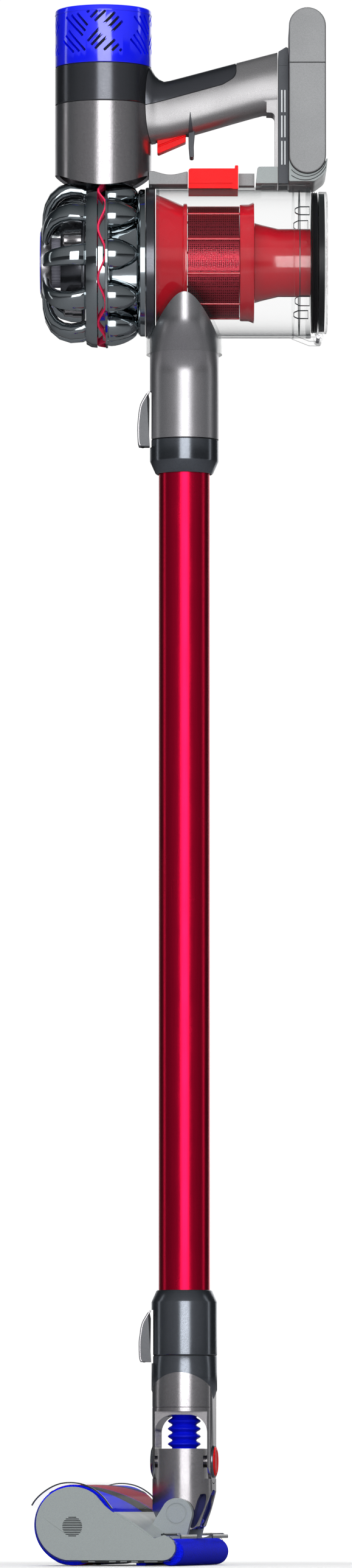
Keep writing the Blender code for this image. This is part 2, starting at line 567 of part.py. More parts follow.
def head():
    """Soft-roller floor head with clear cover, rear roller and sole."""
    front = (ROLLER_X, 0, ROLLER_Z)
    shell = slab("head_shell", rounded([(-52, 5.2), (-5.2, 5.2), (-5.2, 21), (-35, 41, 2), (-40, 41.5), (-52, 52)]), -118, 118)
    cut(shell, rod("roller_room", ROLLER_R + 1.9, -130, 130, 64, "y", front))
    for side in (-1, 1):
        low, high = sorted((side * 30, side * 39))
        ear = [(12 * math.cos(a), PITCH_Z + 12 * math.sin(a)) for a in (math.radians(-20 + 14 * k) for k in range(12))]
        ear += [(-26, 31), (-26, 14), (3, 14)]
        join(shell, slab("ear", ear, low, high))
    cut(shell, rod("rear_room", REAR_R + 0.8, -118.5, 118.5, 32, "y", (REAR_X, 0, REAR_R)))
    cut(shell, rod("swing_room", 13, -29.9, 29.9, 32, "y", (0, 0, PITCH_Z)))
    cut(shell, rod("suction_way", 9, -60, 0, 16, "x", (0, 0, 18)))
    cut(shell, block("mouth", (-55, -50, 0), (-25, 50, 13)))
    cut(shell, rod("pin_hole", 4.4, -37.4, 37.4, 16, "y", (0, 0, PITCH_Z)))
    paint(shell, "shell_grey")
    pin = paint(rod("pitch_pin", 4.1, -37, 37, 16, "y", (0, 0, PITCH_Z)), "steel")
    lip = math.radians(155)
    back = math.radians(25)
    arc = [lip + (back - lip) * k / 16 for k in range(17)]
    outer = [(ROLLER_X + 33 * math.cos(a), ROLLER_Z - 0.5 + 33 * math.sin(a)) for a in arc]
    inner = [(ROLLER_X + 31.7 * math.cos(a), ROLLER_Z - 0.3 + 31.7 * math.sin(a)) for a in reversed(arc)]
    cover = paint(slab("clear_cover", outer + inner, -118, 118), "clear")
    cut(shell, slab("cover_seat", [(ROLLER_X + 34 * math.cos(a), ROLLER_Z + 34 * math.sin(a)) for a in
                                   (math.radians(5 + 5 * k) for k in range(14))] + [(ROLLER_X, ROLLER_Z)], -119, 119))
    caps = []
    for name, side in (("end_cap_left", -1), ("end_cap_right", 1)):
        circle = [(ROLLER_X + 28 * math.cos(a), ROLLER_Z + 1 + 28 * math.sin(a)) for a in
                  (math.radians(60 + 12 * k) for k in range(18))]
        outline = circle + [(-60, 4.3), (3.2, 4.3), (9.6, 6.8), (12.3, 13.3), (9.6, 19.8), (3.2, 22.4), (-4.3, 20.6), (-33, 41.5),
                            (-37, 42.5)]
        low, high = sorted((side * 118.3, side * HEAD_HALF))
        caps.append(paint(slab(name, outline, low, high), "shell_grey"))
    core = paint(rod("roller_core", 21, -117.9, 117.9, 24, "y", front), "black")
    roller = paint(tube("main_roller", ROLLER_R, 21.5, -116.5, 116.5, 48, "y", front), "felt")
    rear = paint(tube("rear_roller", REAR_R, 3, -114, 114, 32, "y", (REAR_X, 0, REAR_R)), "felt")
    axle = paint(rod("rear_axle", 2.7, -118, 118, 12, "y", (REAR_X, 0, REAR_R)), "steel")
    sole = paint(block("sole_plate", (-40, -116, 2.4), (-5.5, 116, 4.9)), "black")
    cut(sole, rod("roller_room", ROLLER_R + 1.2, -130, 130, 48, "y", front))
    cut(sole, block("mouth", (-38, -50, 0), (-26, 50, 10)))
    felt = paint(block("felt_strip", (-19, -114, 0.4), (-12, 114, 2.1)), "felt")
    plate = rounded([(-4.8, 21.4), (8, 21.4), (16.5, 18.6), (17.6, 20.4), (9, 23.8), (-4.8, 24.4)])
    plate = slab("rear_plate", plate, -117.8, 117.8)
    cut(plate, block("notch", (-10, -39.5, 10), (13.2, 39.5, 30)))
    paint(plate, "clear")
    return roller, rear, [shell, pin, cover, core, axle, sole, felt, plate] + caps


def build():
    """Assemble every piece on its joint and move the machine over the middle of its bounding box."""
    clear_scene()
    body = pivot("body", (0, 0, 0))
    cap, element, rotor, fixed = motor_column()
    hang(fixed, body)
    hang([cap, element], pivot("filter_axis", (MOTOR_X, 0, CAP_BOTTOM), body))
    hang([rotor], pivot("rotor_axis", (MOTOR_X, 0, 1100), body))
    pre_cap, sleeve, fixed = cyclones()
    hang(fixed + shroud(), body)
    hang([pre_cap, sleeve], pivot("prefilter_axis", (-112, 0, BIN_Z), body))
    lid, fixed = dust_bin()
    bin_slide = pivot("bin_axis", (0, 0, BIN_Z), body)
    hang(fixed, bin_slide)
    hang([lid], pivot("lid_axis", (104, 0, 949.2), bin_slide))
    lever, fixed = handle()
    hang(fixed + rear_end(), body)
    hang([lever], pivot("trigger_axis", (-1, 0, 1110), body))
    upper_press, lower_press, fixed = inlet_and_wand()
    hang(fixed, body)
    hang([upper_press], pivot("wand_button_axis", (-33.7, 0, 885), body))
    hang([lower_press], pivot("head_button_axis", (-33.2, 0, 175), body))
    turn = pivot("head_turn", (0, 0, 0), body, HEAD_TURN)
    yoke, upper_hose, roll_caps, lower = neck()
    pitch_hose = bellows("lower_bellows", 57.3, 28.5, 7.8, 5.6, 4.2, 5, centre=(13.2, 0, 0))
    roller, rear, head_fixed = head()
    parts = [yoke, upper_hose, lower, pitch_hose, roller, rear] + roll_caps + head_fixed
    for item in parts:
        item.data.transform(Matrix.Rotation(HEAD_TURN, 4, "Z"))
    hang([yoke, upper_hose] + roll_caps, turn)
    roll = pivot("roll_axis", (0, 0, ROLL_Z), turn, HEAD_TURN)
    hang([lower, pitch_hose], roll)
    pitch = pivot("pitch_axis", (0, 0, PITCH_Z), roll, HEAD_TURN)
    hang(head_fixed, pitch)
    spin = Matrix.Rotation(HEAD_TURN, 4, "Z")
    hang([roller], pivot("roller_axis", spin @ Vector((ROLLER_X, 0, ROLLER_Z)), pitch, HEAD_TURN))
    hang([rear], pivot("rear_roller_axis", spin @ Vector((REAR_X, 0, REAR_R)), pitch, HEAD_TURN))
    body.location = SHIFT * MM
    bpy.context.view_layer.update()


build()
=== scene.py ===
import math

import bmesh
import bpy
from mathutils import Matrix, Vector


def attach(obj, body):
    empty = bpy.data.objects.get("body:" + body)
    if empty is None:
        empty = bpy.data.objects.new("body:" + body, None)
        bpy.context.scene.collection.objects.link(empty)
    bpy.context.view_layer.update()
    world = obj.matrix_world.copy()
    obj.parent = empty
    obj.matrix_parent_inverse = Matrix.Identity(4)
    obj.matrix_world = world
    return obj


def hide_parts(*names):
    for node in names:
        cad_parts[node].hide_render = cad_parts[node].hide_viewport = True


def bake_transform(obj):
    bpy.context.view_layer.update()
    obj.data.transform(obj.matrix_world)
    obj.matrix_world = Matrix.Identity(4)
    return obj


# Places are in millimetres from the wand's axis at floor level: x backwards, y away from the camera, z up.
MM = 0.001
OFF = Vector((1.819, -6.469, 0.0))      # the wand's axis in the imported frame
HEAD_TURN = (Matrix.Translation(OFF * MM) @ Matrix.Rotation(math.radians(-9), 4,
        "Z") @ Matrix.Translation(OFF * -MM))
BIN_Z = 1008.8
BIN = (0, 0, BIN_Z)
MOTOR_X = -63.0
MOTOR = (MOTOR_X, 0, 0)
ROLLER_X, ROLLER_Z = -67.0, 31.0
ROLLER = (ROLLER_X, 0, ROLLER_Z)
VENT = (ROLLER_X, 0, 29.8)               # middle of the vent in each end cap
REAR_Z = 10.3
REAR = (7.0, 0, REAR_Z)
WAND_BUTTON = (864.4, 907.6, 26.6)      # bottom, top, distance from the wand's axis
HEAD_BUTTON = (155.5, 195.7, 25.4)

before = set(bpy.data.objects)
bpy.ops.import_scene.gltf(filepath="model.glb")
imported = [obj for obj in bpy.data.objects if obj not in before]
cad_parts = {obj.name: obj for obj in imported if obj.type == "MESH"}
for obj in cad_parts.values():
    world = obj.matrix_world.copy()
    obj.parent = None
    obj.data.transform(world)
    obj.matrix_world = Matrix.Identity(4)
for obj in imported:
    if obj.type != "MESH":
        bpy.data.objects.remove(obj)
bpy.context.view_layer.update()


# ---------------------------------------------------------------- materials

SCREEN_PITCH = 0.0016


def set_inputs(node, values):
    for name, value in values.items():
        node.inputs[name].default_value = value


def nodes_for(name):
    material = bpy.data.materials.new(name)
    material.use_nodes = True
    tree = material.node_tree
    return material, tree, tree.nodes["Principled BSDF"]


def add_noise(tree, scale, detail, stretch=(1, 1, 1)):
    """Noise in the object's own space; gives the factor."""
    place = tree.nodes.new("ShaderNodeTexCoord")
    mapping = tree.nodes.new("ShaderNodeMapping")
    mapping.inputs["Scale"].default_value = stretch
    noise = tree.nodes.new("ShaderNodeTexNoise")
    set_inputs(noise, {"Scale": scale, "Detail": detail})
    tree.links.new(place.outputs["Object"], mapping.inputs["Vector"])
    tree.links.new(mapping.outputs["Vector"], noise.inputs["Vector"])
    return noise.outputs["Fac"]


def ramp(tree, source, stops):
    """Colour ramp over a source between 0 and 1."""
    node = tree.nodes.new("ShaderNodeValToRGB")
    while len(node.color_ramp.elements) > 1:
        node.color_ramp.elements.remove(node.color_ramp.elements[-1])
    node.color_ramp.elements[0].position = stops[0][0]
    node.color_ramp.elements[0].color = (*stops[0][1], 1)
    for position, colour in stops[1:]:
        node.color_ramp.elements.new(position).color = (*colour, 1)
    tree.links.new(source, node.inputs["Fac"])
    return node.outputs["Color"]


def spread(tree, source, low, high):
    """The middle of a noise spread over low to high."""
    node = tree.nodes.new("ShaderNodeMapRange")
    set_inputs(node, {"From Min": 0.3, "From Max": 0.7, "To Min": low, "To Max": high})
    tree.links.new(source, node.inputs["Value"])
    return node.outputs["Result"]


def bump(tree, shader, source, height, strength=1.0):
    node = tree.nodes.new("ShaderNodeBump")
    set_inputs(node, {"Distance": height, "Strength": strength})
    tree.links.new(source, node.inputs["Height"])
    tree.links.new(node.outputs["Normal"], shader.inputs["Normal"])


def shade(colour, k):
    return tuple(min(1.0, c * k) for c in colour)


def flaked(name, base, metallic=0.8, rough=(0.28, 0.4), grain=2600, contrast=0.22, coat=0.0, lumps=0.00002):
    """Metallic moulded finish: fine flake in colour, soft roughness changes and a faint orange-peel bump."""
    material, tree, shader = nodes_for(name)
    set_inputs(shader, {"Metallic": metallic, "Coat Weight": coat, "Coat Roughness": 0.12,
                        "Specular IOR Level": 0.5 if metallic else 0.28})
    flake = add_noise(tree, grain, 2.0)
    stops = [(0.3, shade(base, 1 - contrast)), (0.5, base), (0.7, shade(base, 1 + contrast))]
    tree.links.new(ramp(tree, flake, stops), shader.inputs["Base Color"])
    wide = add_noise(tree, 38, 4.0)
    tree.links.new(spread(tree, wide, *rough), shader.inputs["Roughness"])
    peel = add_noise(tree, 900, 2.0)
    bump(tree, shader, peel, lumps, 0.25)
    return material


def moulded(name, base, rough=(0.3, 0.45), grain=1500, coat=0.0, height=0.00004, contrast=0.06):
    """Moulded plastic: fine texture, slight tone change and uneven gloss."""
    return flaked(name, base, 0.0, rough, grain, contrast, coat, height)


def drawn(name, base, rough=(0.16, 0.3), stretch=(1, 1, 0.02), contrast=0.06):
    """Anodised or drawn metal with fine lines along one axis."""
    material, tree, shader = nodes_for(name)
    set_inputs(shader, {"Metallic": 1.0, "Anisotropic": 0.3})
    lines = add_noise(tree, 1400, 2.0, stretch)
    stops = [(0.3, shade(base, 1 - contrast)), (0.7, shade(base, 1 + contrast))]
    tree.links.new(ramp(tree, lines, stops), shader.inputs["Base Color"])
    wide = add_noise(tree, 30, 4.0)
    tree.links.new(spread(tree, wide, *rough), shader.inputs["Roughness"])
    bump(tree, shader, lines, 0.000008, 0.4)
    return material


def clear(name, tint, face, rim, power):
    """Clear polycarbonate: nearly invisible face on, denser and glossier along its turned-away edges."""
    material, tree, shader = nodes_for(name)
    set_inputs(shader, {"Base Color": (*tint, 1), "IOR": 1.58, "Coat Weight": 1.0, "Coat Roughness": 0.02})
    wide = add_noise(tree, 25, 2.0)
    tree.links.new(spread(tree, wide, 0.02, 0.05), shader.inputs["Roughness"])
    edge = tree.nodes.new("ShaderNodeLayerWeight")
    edge.inputs["Blend"].default_value = 0.5
    steep = tree.nodes.new("ShaderNodeMath")
    steep.operation = "POWER"
    steep.inputs[1].default_value = power
    tree.links.new(edge.outputs["Facing"], steep.inputs[0])
    reach = tree.nodes.new("ShaderNodeMapRange")
    set_inputs(reach, {"To Min": face, "To Max": rim})
    tree.links.new(steep.outputs["Value"], reach.inputs["Value"])
    tree.links.new(reach.outputs["Result"], shader.inputs["Alpha"])
    return material


def felt(name, base, dark):
    """Napped felt: short tufts in colour and bump, with sheen."""
    material, tree, shader = nodes_for(name)
    set_inputs(shader, {"Sheen Weight": 0.02, "Sheen Roughness": 0.4, "Specular IOR Level": 0.15,
                        "Roughness": 0.9})
    tuft = add_noise(tree, 900, 4.0)
    tree.links.new(ramp(tree, tuft, [(0.35, dark), (0.6, base)]), shader.inputs["Base Color"])
    bump(tree, shader, tuft, 0.0006, 0.7)
    return material


def screen(name, base, dark):
    """Etched steel screen: rows of small dark holes over a satin sheet."""
    material, tree, shader = nodes_for(name)
    set_inputs(shader, {"Metallic": 0.9, "Roughness": 0.35})
    place = tree.nodes.new("ShaderNodeTexCoord")
    cells = tree.nodes.new("ShaderNodeTexVoronoi")
    set_inputs(cells, {"Scale": 1 / SCREEN_PITCH, "Randomness": 0.15})
    tree.links.new(place.outputs["Object"], cells.inputs["Vector"])
    tree.links.new(ramp(tree, cells.outputs["Distance"], [(0.3, dark), (0.42, base)]),
                   shader.inputs["Base Color"])
    bump(tree, shader, cells.outputs["Distance"], 0.0003, 0.6)
    return material


M = {
    "blue": moulded("filter_blue_plastic", (0.003, 0.008, 1.0), (0.3, 0.4), coat=1.0),
    "hose": moulded("hose_blue_rubber", (0.003, 0.008, 0.72), (0.25, 0.38), coat=0.2),
    "pleats": moulded("pleated_paper", (0.25, 0.25, 0.3), (0.7, 0.9)),
    "duct": flaked("duct_nickel_flake", (0.48, 0.47, 0.49), 0.9, (0.3, 0.36), contrast=0.2),
    "nickel": flaked("nickel_flake", (0.42, 0.405, 0.42), 0.95, (0.2, 0.26), contrast=0.28),
    "collar": flaked("slate_flake", (0.17, 0.185, 0.21), 0.95, (0.18, 0.25), contrast=0.26),
    "dark": flaked("dark_nickel_flake", (0.115, 0.12, 0.135), 0.92, (0.18, 0.26), contrast=0.25),
    "silver": flaked("silver_satin_flake", (0.25, 0.255, 0.26), 0.3, (0.4, 0.48), contrast=0.14),
    "grip": flaked("grip_satin_flake", (0.29, 0.285, 0.29), 0.8, (0.3, 0.35), contrast=0.2),
    "post": flaked("post_dark_flake", (0.05, 0.055, 0.065), 0.2, (0.4, 0.5), contrast=0.15),
    "pad": flaked("pad_grey_flake", (0.13, 0.135, 0.145), 0.2, (0.4, 0.48), contrast=0.15),
    "shell": moulded("shell_grey_plastic", (0.33, 0.365, 0.365), (0.34, 0.46), coat=0.1),
    "chrome": drawn("dark_mirror_chrome", (0.38, 0.42, 0.44), (0.05, 0.11), (1, 1, 1), contrast=0.04),
    "gasket": moulded("gasket_red_rubber", (0.75, 0.02, 0.09), (0.45, 0.6)),
    "clear": clear("clear_polycarbonate", (0.10, 0.13, 0.135), 0.02, 0.9, power=4.0),
    "clear_cover": clear("clear_roller_cover", (0.12, 0.14, 0.15), 0.01, 0.07, power=6.0),
    "red_glass": moulded("shroud_red_plastic", (0.55, 0.002, 0.014), (0.2, 0.3), coat=1.0),
    "red": moulded("bright_red_plastic", (0.9, 0.003, 0.006), (0.3, 0.4), coat=0.05),
    "steel": drawn("satin_steel", (0.5, 0.5, 0.52), (0.25, 0.4)),
    "wand": drawn("anodised_red_tube", (0.78, 0.006, 0.05), (0.22, 0.28)),
    "black": moulded("black_plastic", (0.012, 0.012, 0.014), (0.4, 0.6)),
    "seal": moulded("black_seal_rubber", (0.01, 0.01, 0.011), (0.3, 0.5)),
    "felt": felt("blue_felt", (0.004, 0.012, 1.0), (0.003, 0.008, 0.66)),
    "strip": moulded("black_fibre_strip", (0.012, 0.012, 0.014), (0.6, 0.85), grain=700, height=0.0002,
                     contrast=0.4),
    "mesh": screen("screen_steel_etched", (0.42, 0.03, 0.05), (0.05, 0.004, 0.008)),
    "pale": moulded("pale_light_slot", (0.75, 0.78, 0.8), (0.3, 0.4)),
    "smoke": moulded("smoky_clear_edge", (0.03, 0.035, 0.04), (0.12, 0.2), coat=0.6),
    "navy": moulded("navy_rubber", (0.004, 0.008, 0.12), (0.3, 0.45)),
    "crimson": felt("crimson_felt", (0.5, 0.006, 0.05), (0.2, 0.002, 0.02)),
}

# The part slot that each look fills.
SLOTS = {look: slot for slot, looks in (
    ("black_parts", "black strip"),
    ("filter_blue", "blue"),
    ("dark_chrome", "chrome"),
    ("clear_poly", "clear clear_cover smoke"),
    ("nickel", "collar duct nickel"),
    ("dark_nickel", "dark post"),
    ("felt_blue", "felt crimson"),
    ("gasket_red", "gasket"),
    ("silver_satin", "grip pad pale silver"),
    ("screen_steel", "mesh"),
    ("bellows_blue", "navy hose"),
    ("pleat_paper", "pleats"),
    ("red_gloss", "red"),
    ("shroud_red", "red_glass"),
    ("seal_black", "seal"),
    ("shell_grey", "shell"),
    ("anodised_red", "wand"),
) for look in looks.split()}

for key, level, coat_index in (
        ("blue", 0.1, 1.95), ("red_glass", 0.1, 1.95), ("red", 0.08, 1.5), ("felt", 0.05, 1.5),
        ("crimson", 0.05, 1.5), ("hose", 0.15, 1.7), ("strip", 0.1, 1.5)):
    shader = M[key].node_tree.nodes["Principled BSDF"]
    set_inputs(shader, {"Specular IOR Level": level, "Coat IOR": coat_index})


# ---------------------------------------------------------------- shapes, in mm from the wand's axis

def solid(name, points, faces, angle=35.0):
    mesh = bpy.data.meshes.new(name)
    mesh.from_pydata([(Vector(p) + OFF) * MM for p in points], [], faces)
    item = bpy.data.objects.new(name, mesh)
    bpy.context.collection.objects.link(item)
    work = bmesh.new()
    work.from_mesh(mesh)
    bmesh.ops.recalc_face_normals(work, faces=work.faces)
    work.to_mesh(mesh)
    work.free()
    mesh.shade_smooth()
    mesh.set_sharp_from_angle(angle=math.radians(angle))
    return item


def turned(name, profile, segments=96, axis="z", centre=(0, 0, 0), wave=None, phase=0.0):
    """A closed profile of (radius, height) turned about an axis; wave bends it as it goes round."""
    points, rings = [], []
    for radius, height in profile:
        if radius < 1e-6:
            rings.append([len(points)])
            points.append((0, 0, height))
            continue
        ring = []
        for i in range(segments):
            a = 2 * math.pi * i / segments + phase
            r, h = (radius, height) if wave is None else wave(a, radius, height)
            ring.append(len(points))
            points.append((r * math.cos(a), r * math.sin(a), h))
        rings.append(ring)
    faces = []
    for a, b in zip(rings, rings[1:] + rings[:1]):
        if len(a) == 1 and len(b) == 1:
            continue
        for i in range(segments):
            j = (i + 1) % segments
            if len(a) == 1:
                faces.append((a[0], b[i], b[j]))
            elif len(b) == 1:
                faces.append((a[i], a[j], b[0]))
            else:
                faces.append((a[i], a[j], b[j], b[i]))
    turn = {"z": lambda p: p, "x": lambda p: (p[2], p[0], p[1]), "y": lambda p: (p[1], p[2], p[0])}[axis]
    return solid(name, [Vector(turn(p)) + Vector(centre) for p in points], faces)


def ripple(depth, count, beyond):
    """Wave of ripples on the points farther out than beyond."""
    return lambda a, r, h: (r + (depth * math.cos(count * a) if r > beyond else 0), h)


def pleated(depth, count, beyond):
    """Wave of pleats drawn in from the points farther out than beyond."""
    return lambda a, r, h: (r - (depth * (0.5 + 0.5 * math.cos(count * a)) if r > beyond else 0), h)


def gasket_wave(a, r, h):
    """Ten crests along the gasket, and a rim scalloped between them."""
    return r - (2.2 * abs(math.sin(5 * a)) if r > 60 else 0), h + 2.9 * math.cos(10 * a)


def scroll_wave(a, r, h):
    """Ten flat lobes round the scroll ring."""
    return r + (1.6 * abs(math.cos(5 * a)) - 1.2 if r > 55 else 0), h


def rod(name, radius, low, high, segments=64, axis="z", centre=(0, 0, 0), phase=0.0):
    profile = [(0, low), (radius, low), (radius, high), (0, high)]
    return turned(name, profile, segments, axis, centre, phase=phase)


def tube(name, outer, inner, low, high, segments=96, axis="z", centre=(0, 0, 0)):
    return turned(name, [(inner, low), (outer, low), (outer, high), (inner, high)], segments, axis, centre)


def bin_ring(name, profile, segments=128, wave=None):
    """A profile of (radius, x) turned about the bin's axis."""
    return turned(name, profile, segments, "x", BIN, wave)


def rounded(corners, steps=8):
    """Outline through corners of (x, z) or (x, z, radius)."""
    outline = []
    count = len(corners)
    for i in range(count):
        u, v = corners[i][:2]
        radius = corners[i][2] if len(corners[i]) > 2 else 0
        here = Vector((u, v))
        before = Vector(corners[i - 1][:2]) - here
        after = Vector(corners[(i + 1) % count][:2]) - here
        if radius <= 0:
            outline.append((u, v))
            continue
        half = before.angle(after) / 2
        reach = min(radius / math.tan(half), before.length * 0.49, after.length * 0.49)
        radius = reach * math.tan(half)
        middle = here + (before.normalized() + after.normalized()).normalized() * (radius / math.sin(half))
        first = (here + before.normalized() * reach - middle).normalized()
        last = (here + after.normalized() * reach - middle).normalized()
        for k in range(steps + 1):
            outline.append(tuple(middle + first.lerp(last, k / steps).normalized() * radius))
    return outline


def bar(x0, x1, z0, z1, radius, steps=8):
    """Rectangle with rounded corners."""
    return rounded([(x0, z0, radius), (x1, z0, radius), (x1, z1, radius), (x0, z1, radius)], steps)


def span(side, near, far):
    """Low and high end of a stretch on one side of the middle."""
    return sorted((side * near, side * far))


def soft(value, power):
    """Power of the size, with the sign kept; squares off an oval."""
    return math.copysign(abs(value) ** power, value)


def arc(x, z, radius, start, step, count):
    """Points along a circle, with angles in degrees."""
    angles = [math.radians(start + step * k) for k in range(count)]
    return [(x + radius * math.cos(a), z + radius * math.sin(a)) for a in angles]


def on_bin(radius, a):
    """Centre line parallel to the bin's axis, at an angle round it."""
    return (0, radius * math.cos(a), BIN_Z + radius * math.sin(a))


def mirrored(profile, side):
    return [(radius, height * side) for radius, height in profile]


def offset(line, by, closed=False):
    """Points moved sideways from a line, to the left of its direction."""
    out = []
    count = len(line)
    for i in range(count):
        before = Vector(line[i - 1] if i or closed else line[0])
        after = Vector(line[(i + 1) % count] if i < count - 1 or closed else line[-1])
        way = (after - before).normalized()
        out.append((line[i][0] - way.y * by, line[i][1] + way.x * by))
    return out


def smooth(line, steps=5):
    """Catmull-Rom curve through a line's points."""
    pts = [Vector(p) for p in line]
    pts = [2 * pts[0] - pts[1]] + pts + [2 * pts[-1] - pts[-2]]
    out = []
    for i in range(1, len(pts) - 2):
        a, b, c, d = pts[i - 1:i + 3]
        for k in range(steps):
            t = k / steps
            square = (2 * a - 5 * b + 4 * c - d) * t * t
            cube = (3 * b - 3 * c + d - a) * t ** 3
            out.append(tuple(0.5 * (2 * b + (c - a) * t + square + cube)))
    return out + [line[-1]]


def slab(name, outline, low, high, plane="xz"):
    """An outline carried from low to high, square to its plane."""
    where = {"xz": 1, "xy": 2, "yz": 0}[plane]
    count = len(outline)
    points = [(*p[:where], t, *p[where:]) for t in (low, high) for p in outline]
    faces = [tuple(range(count)), tuple(range(2 * count - 1, count - 1, -1))]
    faces += [(i, i + count, (i + 1) % count + count, (i + 1) % count) for i in range(count)]
    return solid(name, points, faces)


def block(name, low, high):
    corners = [(low[0], low[2]), (high[0], low[2]), (high[0], high[2]), (low[0], high[2])]
    return slab(name, corners, low[1], high[1])


def lofted(name, sections, angle=35.0):
    """A closed skin over rings of equal length."""
    count = len(sections[0])
    points = [p for ring in sections for p in ring]
    faces = [tuple(range(count)), tuple(len(points) - 1 - i for i in range(count))]
    for s in range(len(sections) - 1):
        for i in range(count):
            j = (i + 1) % count
            faces.append((s * count + i, s * count + j, (s + 1) * count + j, (s + 1) * count + i))
    return solid(name, points, faces, angle)


def combine(target, tools, operation, solver="EXACT"):
    """Apply booleans one by one and remove the tools."""
    for tool in tools if isinstance(tools, list) else [tools]:
        step = target.modifiers.new("step", "BOOLEAN")
        step.solver = solver
        step.operation = operation
        step.object = tool
        bpy.context.view_layer.update()
        shaped = bpy.data.meshes.new_from_object(target.evaluated_get(bpy.context.evaluated_depsgraph_get()))
        target.modifiers.clear()
        target.data = shaped
        bpy.data.objects.remove(tool)
    target.data.shade_smooth()
    target.data.set_sharp_from_angle(angle=math.radians(35))


def cut(target, tools, solver="EXACT"):
    combine(target, tools, "DIFFERENCE", solver)


def join(target, tools):
    combine(target, tools, "UNION")


def keep(target, tools):
    combine(target, tools, "INTERSECT")


def piece(item, look, nodes=(), body="main_unit", slot=None, bevel=0.0, segments=2):
    """Finish one visible piece: material, edge rounding, body and the nodes it stands for."""
    item.data.materials.clear()
    item.data.materials.append(M[look])
    if bevel:
        edge = item.modifiers.new("edge", "BEVEL")
        edge.width = bevel * MM
        edge.segments = segments
        edge.limit_method = "ANGLE"
        edge.angle_limit = math.radians(32)
        edge.harden_normals = True
    slot = slot or SLOTS[look]
    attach(item, body)
    if nodes:
        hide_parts(*nodes)


def head_piece(item, look, nodes=(), body="floor_head", **finish):
    """A piece drawn square to the head, turned with it about the wand's axis."""
    item.data.transform(HEAD_TURN)
    piece(item, look, nodes, body, **finish)


def carry(material, *names):
    """A CAD node that stays keeps its shape and gets a finished material."""
    for name in names:
        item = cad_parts[name]
        item.data.materials.clear()
        item.data.materials.append(M[material])
        split = item.modifiers.new("crease", "EDGE_SPLIT")
        split.split_angle = math.radians(35)


# ---------------------------------------------------------------- motor column and filter cap

def slanted_slots():
    """Cutters for the filter cap's vent band: eight panels of slots, leaning left and right by turns."""
    rising = [((-13.0, -7.5), (7.5, 13.9)), ((-10.0, -10.6), (10.6, 10.6)), ((-6.9, -13.6), (13.6, 7.2)),
              ((-10.6, 10.9), (-6.3, 15.2)), ((-7.2, 8.1), (0, 15.2)), ((-13.4, 14.9), (-12.9, 15.4)),
              ((0, -14.8), (7.5, -7.5)), ((6.3, -15.1), (10.6, -10.9)), ((12.5, -15.2), (13.0, -14.7))]
    falling = [((-3.9, 11.8), (11.2, -3.0)), ((2.0, 12.7), (13.4, 0.6)), ((7.6, 13.6), (15.2, 4.8)),
               ((-7.5, -6.2), (3.0, -15.6)), ((-4.4, -2.6), (8.2, -15.2)), ((-1.1, 1.0), (13.2, -14.6))]
    cutters = []
    for panel in range(8):
        middle = math.radians(-88 + 45 * panel)
        for start, end in falling if panel % 2 else rising:
            start, end = Vector(start), Vector(end)
            way = (end - start).normalized()
            side = Vector((-way.y, way.x))
            tip = way * 0.9
            shape = [start - tip + side, start - tip - side, end + tip - side, end + tip + side]
            shape = rounded([(p.x, p.y, 0.5) for p in shape], 2)
            rings = []
            for depth in (32.4, 39.0):
                around = [(middle + u / 37.5, 1185.5 + v) for u, v in shape]
                rings.append([(MOTOR_X + depth * math.cos(a), depth * math.sin(a), z) for a, z in around])
            cutters.append(lofted("slot", rings))
    return cutters


def motor_column():
    profile = [(33, 1161.3), (37.3, 1161.3), (37.5, 1161.7), (37.5, 1204.4), (37.2, 1205.4), (36.4, 1206.0),
               (35, 1206.25), (0, 1206.25), (0, 1203), (33, 1203)]
    cap = turned("filter_cap_shell", profile, 160, centre=MOTOR)
    for slot in slanted_slots():
        cut(cap, slot)
    piece(cap, "blue", ["filter_cap"], body="filter")
    piece(tube("filter_liner", 32.9, 32.2, 1164, 1203, 96, centre=MOTOR), "black", body="filter")
    profile = [(34.9, 1201.6), (37.75, 1201.6), (37.75, 1202.5), (34.9, 1202.5)]
    piece(turned("filter_cap_rim", profile, 120, centre=MOTOR), "blue", body="filter", bevel=0.25)
    pleat = turned("filter_pleats", [(26, 1164), (32, 1164), (32, 1200), (26, 1200)], 240, centre=MOTOR,
                   wave=pleated(2.4, 60, 30))
    piece(pleat, "pleats", ["filter_element"], body="filter")
    profile = [(34, 1131.6), (37.2, 1131.6), (37.5, 1132.0), (37.5, 1160.4), (37.2, 1160.8), (34, 1160.8)]
    piece(turned("upper_housing_ring", profile, 128, centre=MOTOR), "dark", ["upper_housing"])
    profile = [(34, 1046), (37.5, 1046), (37.5, 1130.8), (37.2, 1131.2), (34, 1131.2)]
    lower = turned("lower_housing_shell", profile, 128, centre=MOTOR)
    cut(lower, rod("saddle", 68.0, -120, 0, 128, "x", BIN, 0.031), "MANIFOLD")
    piece(lower, "nickel", ["lower_housing"])
    piece(tube("housing_seam", 36.9, 33.5, 1131.0, 1131.8, 96, centre=MOTOR), "black")
    piece(tube("cap_seam", 36.7, 33.5, 1160.6, 1161.4, 96, centre=MOTOR), "black")


# ---------------------------------------------------------------- cyclones

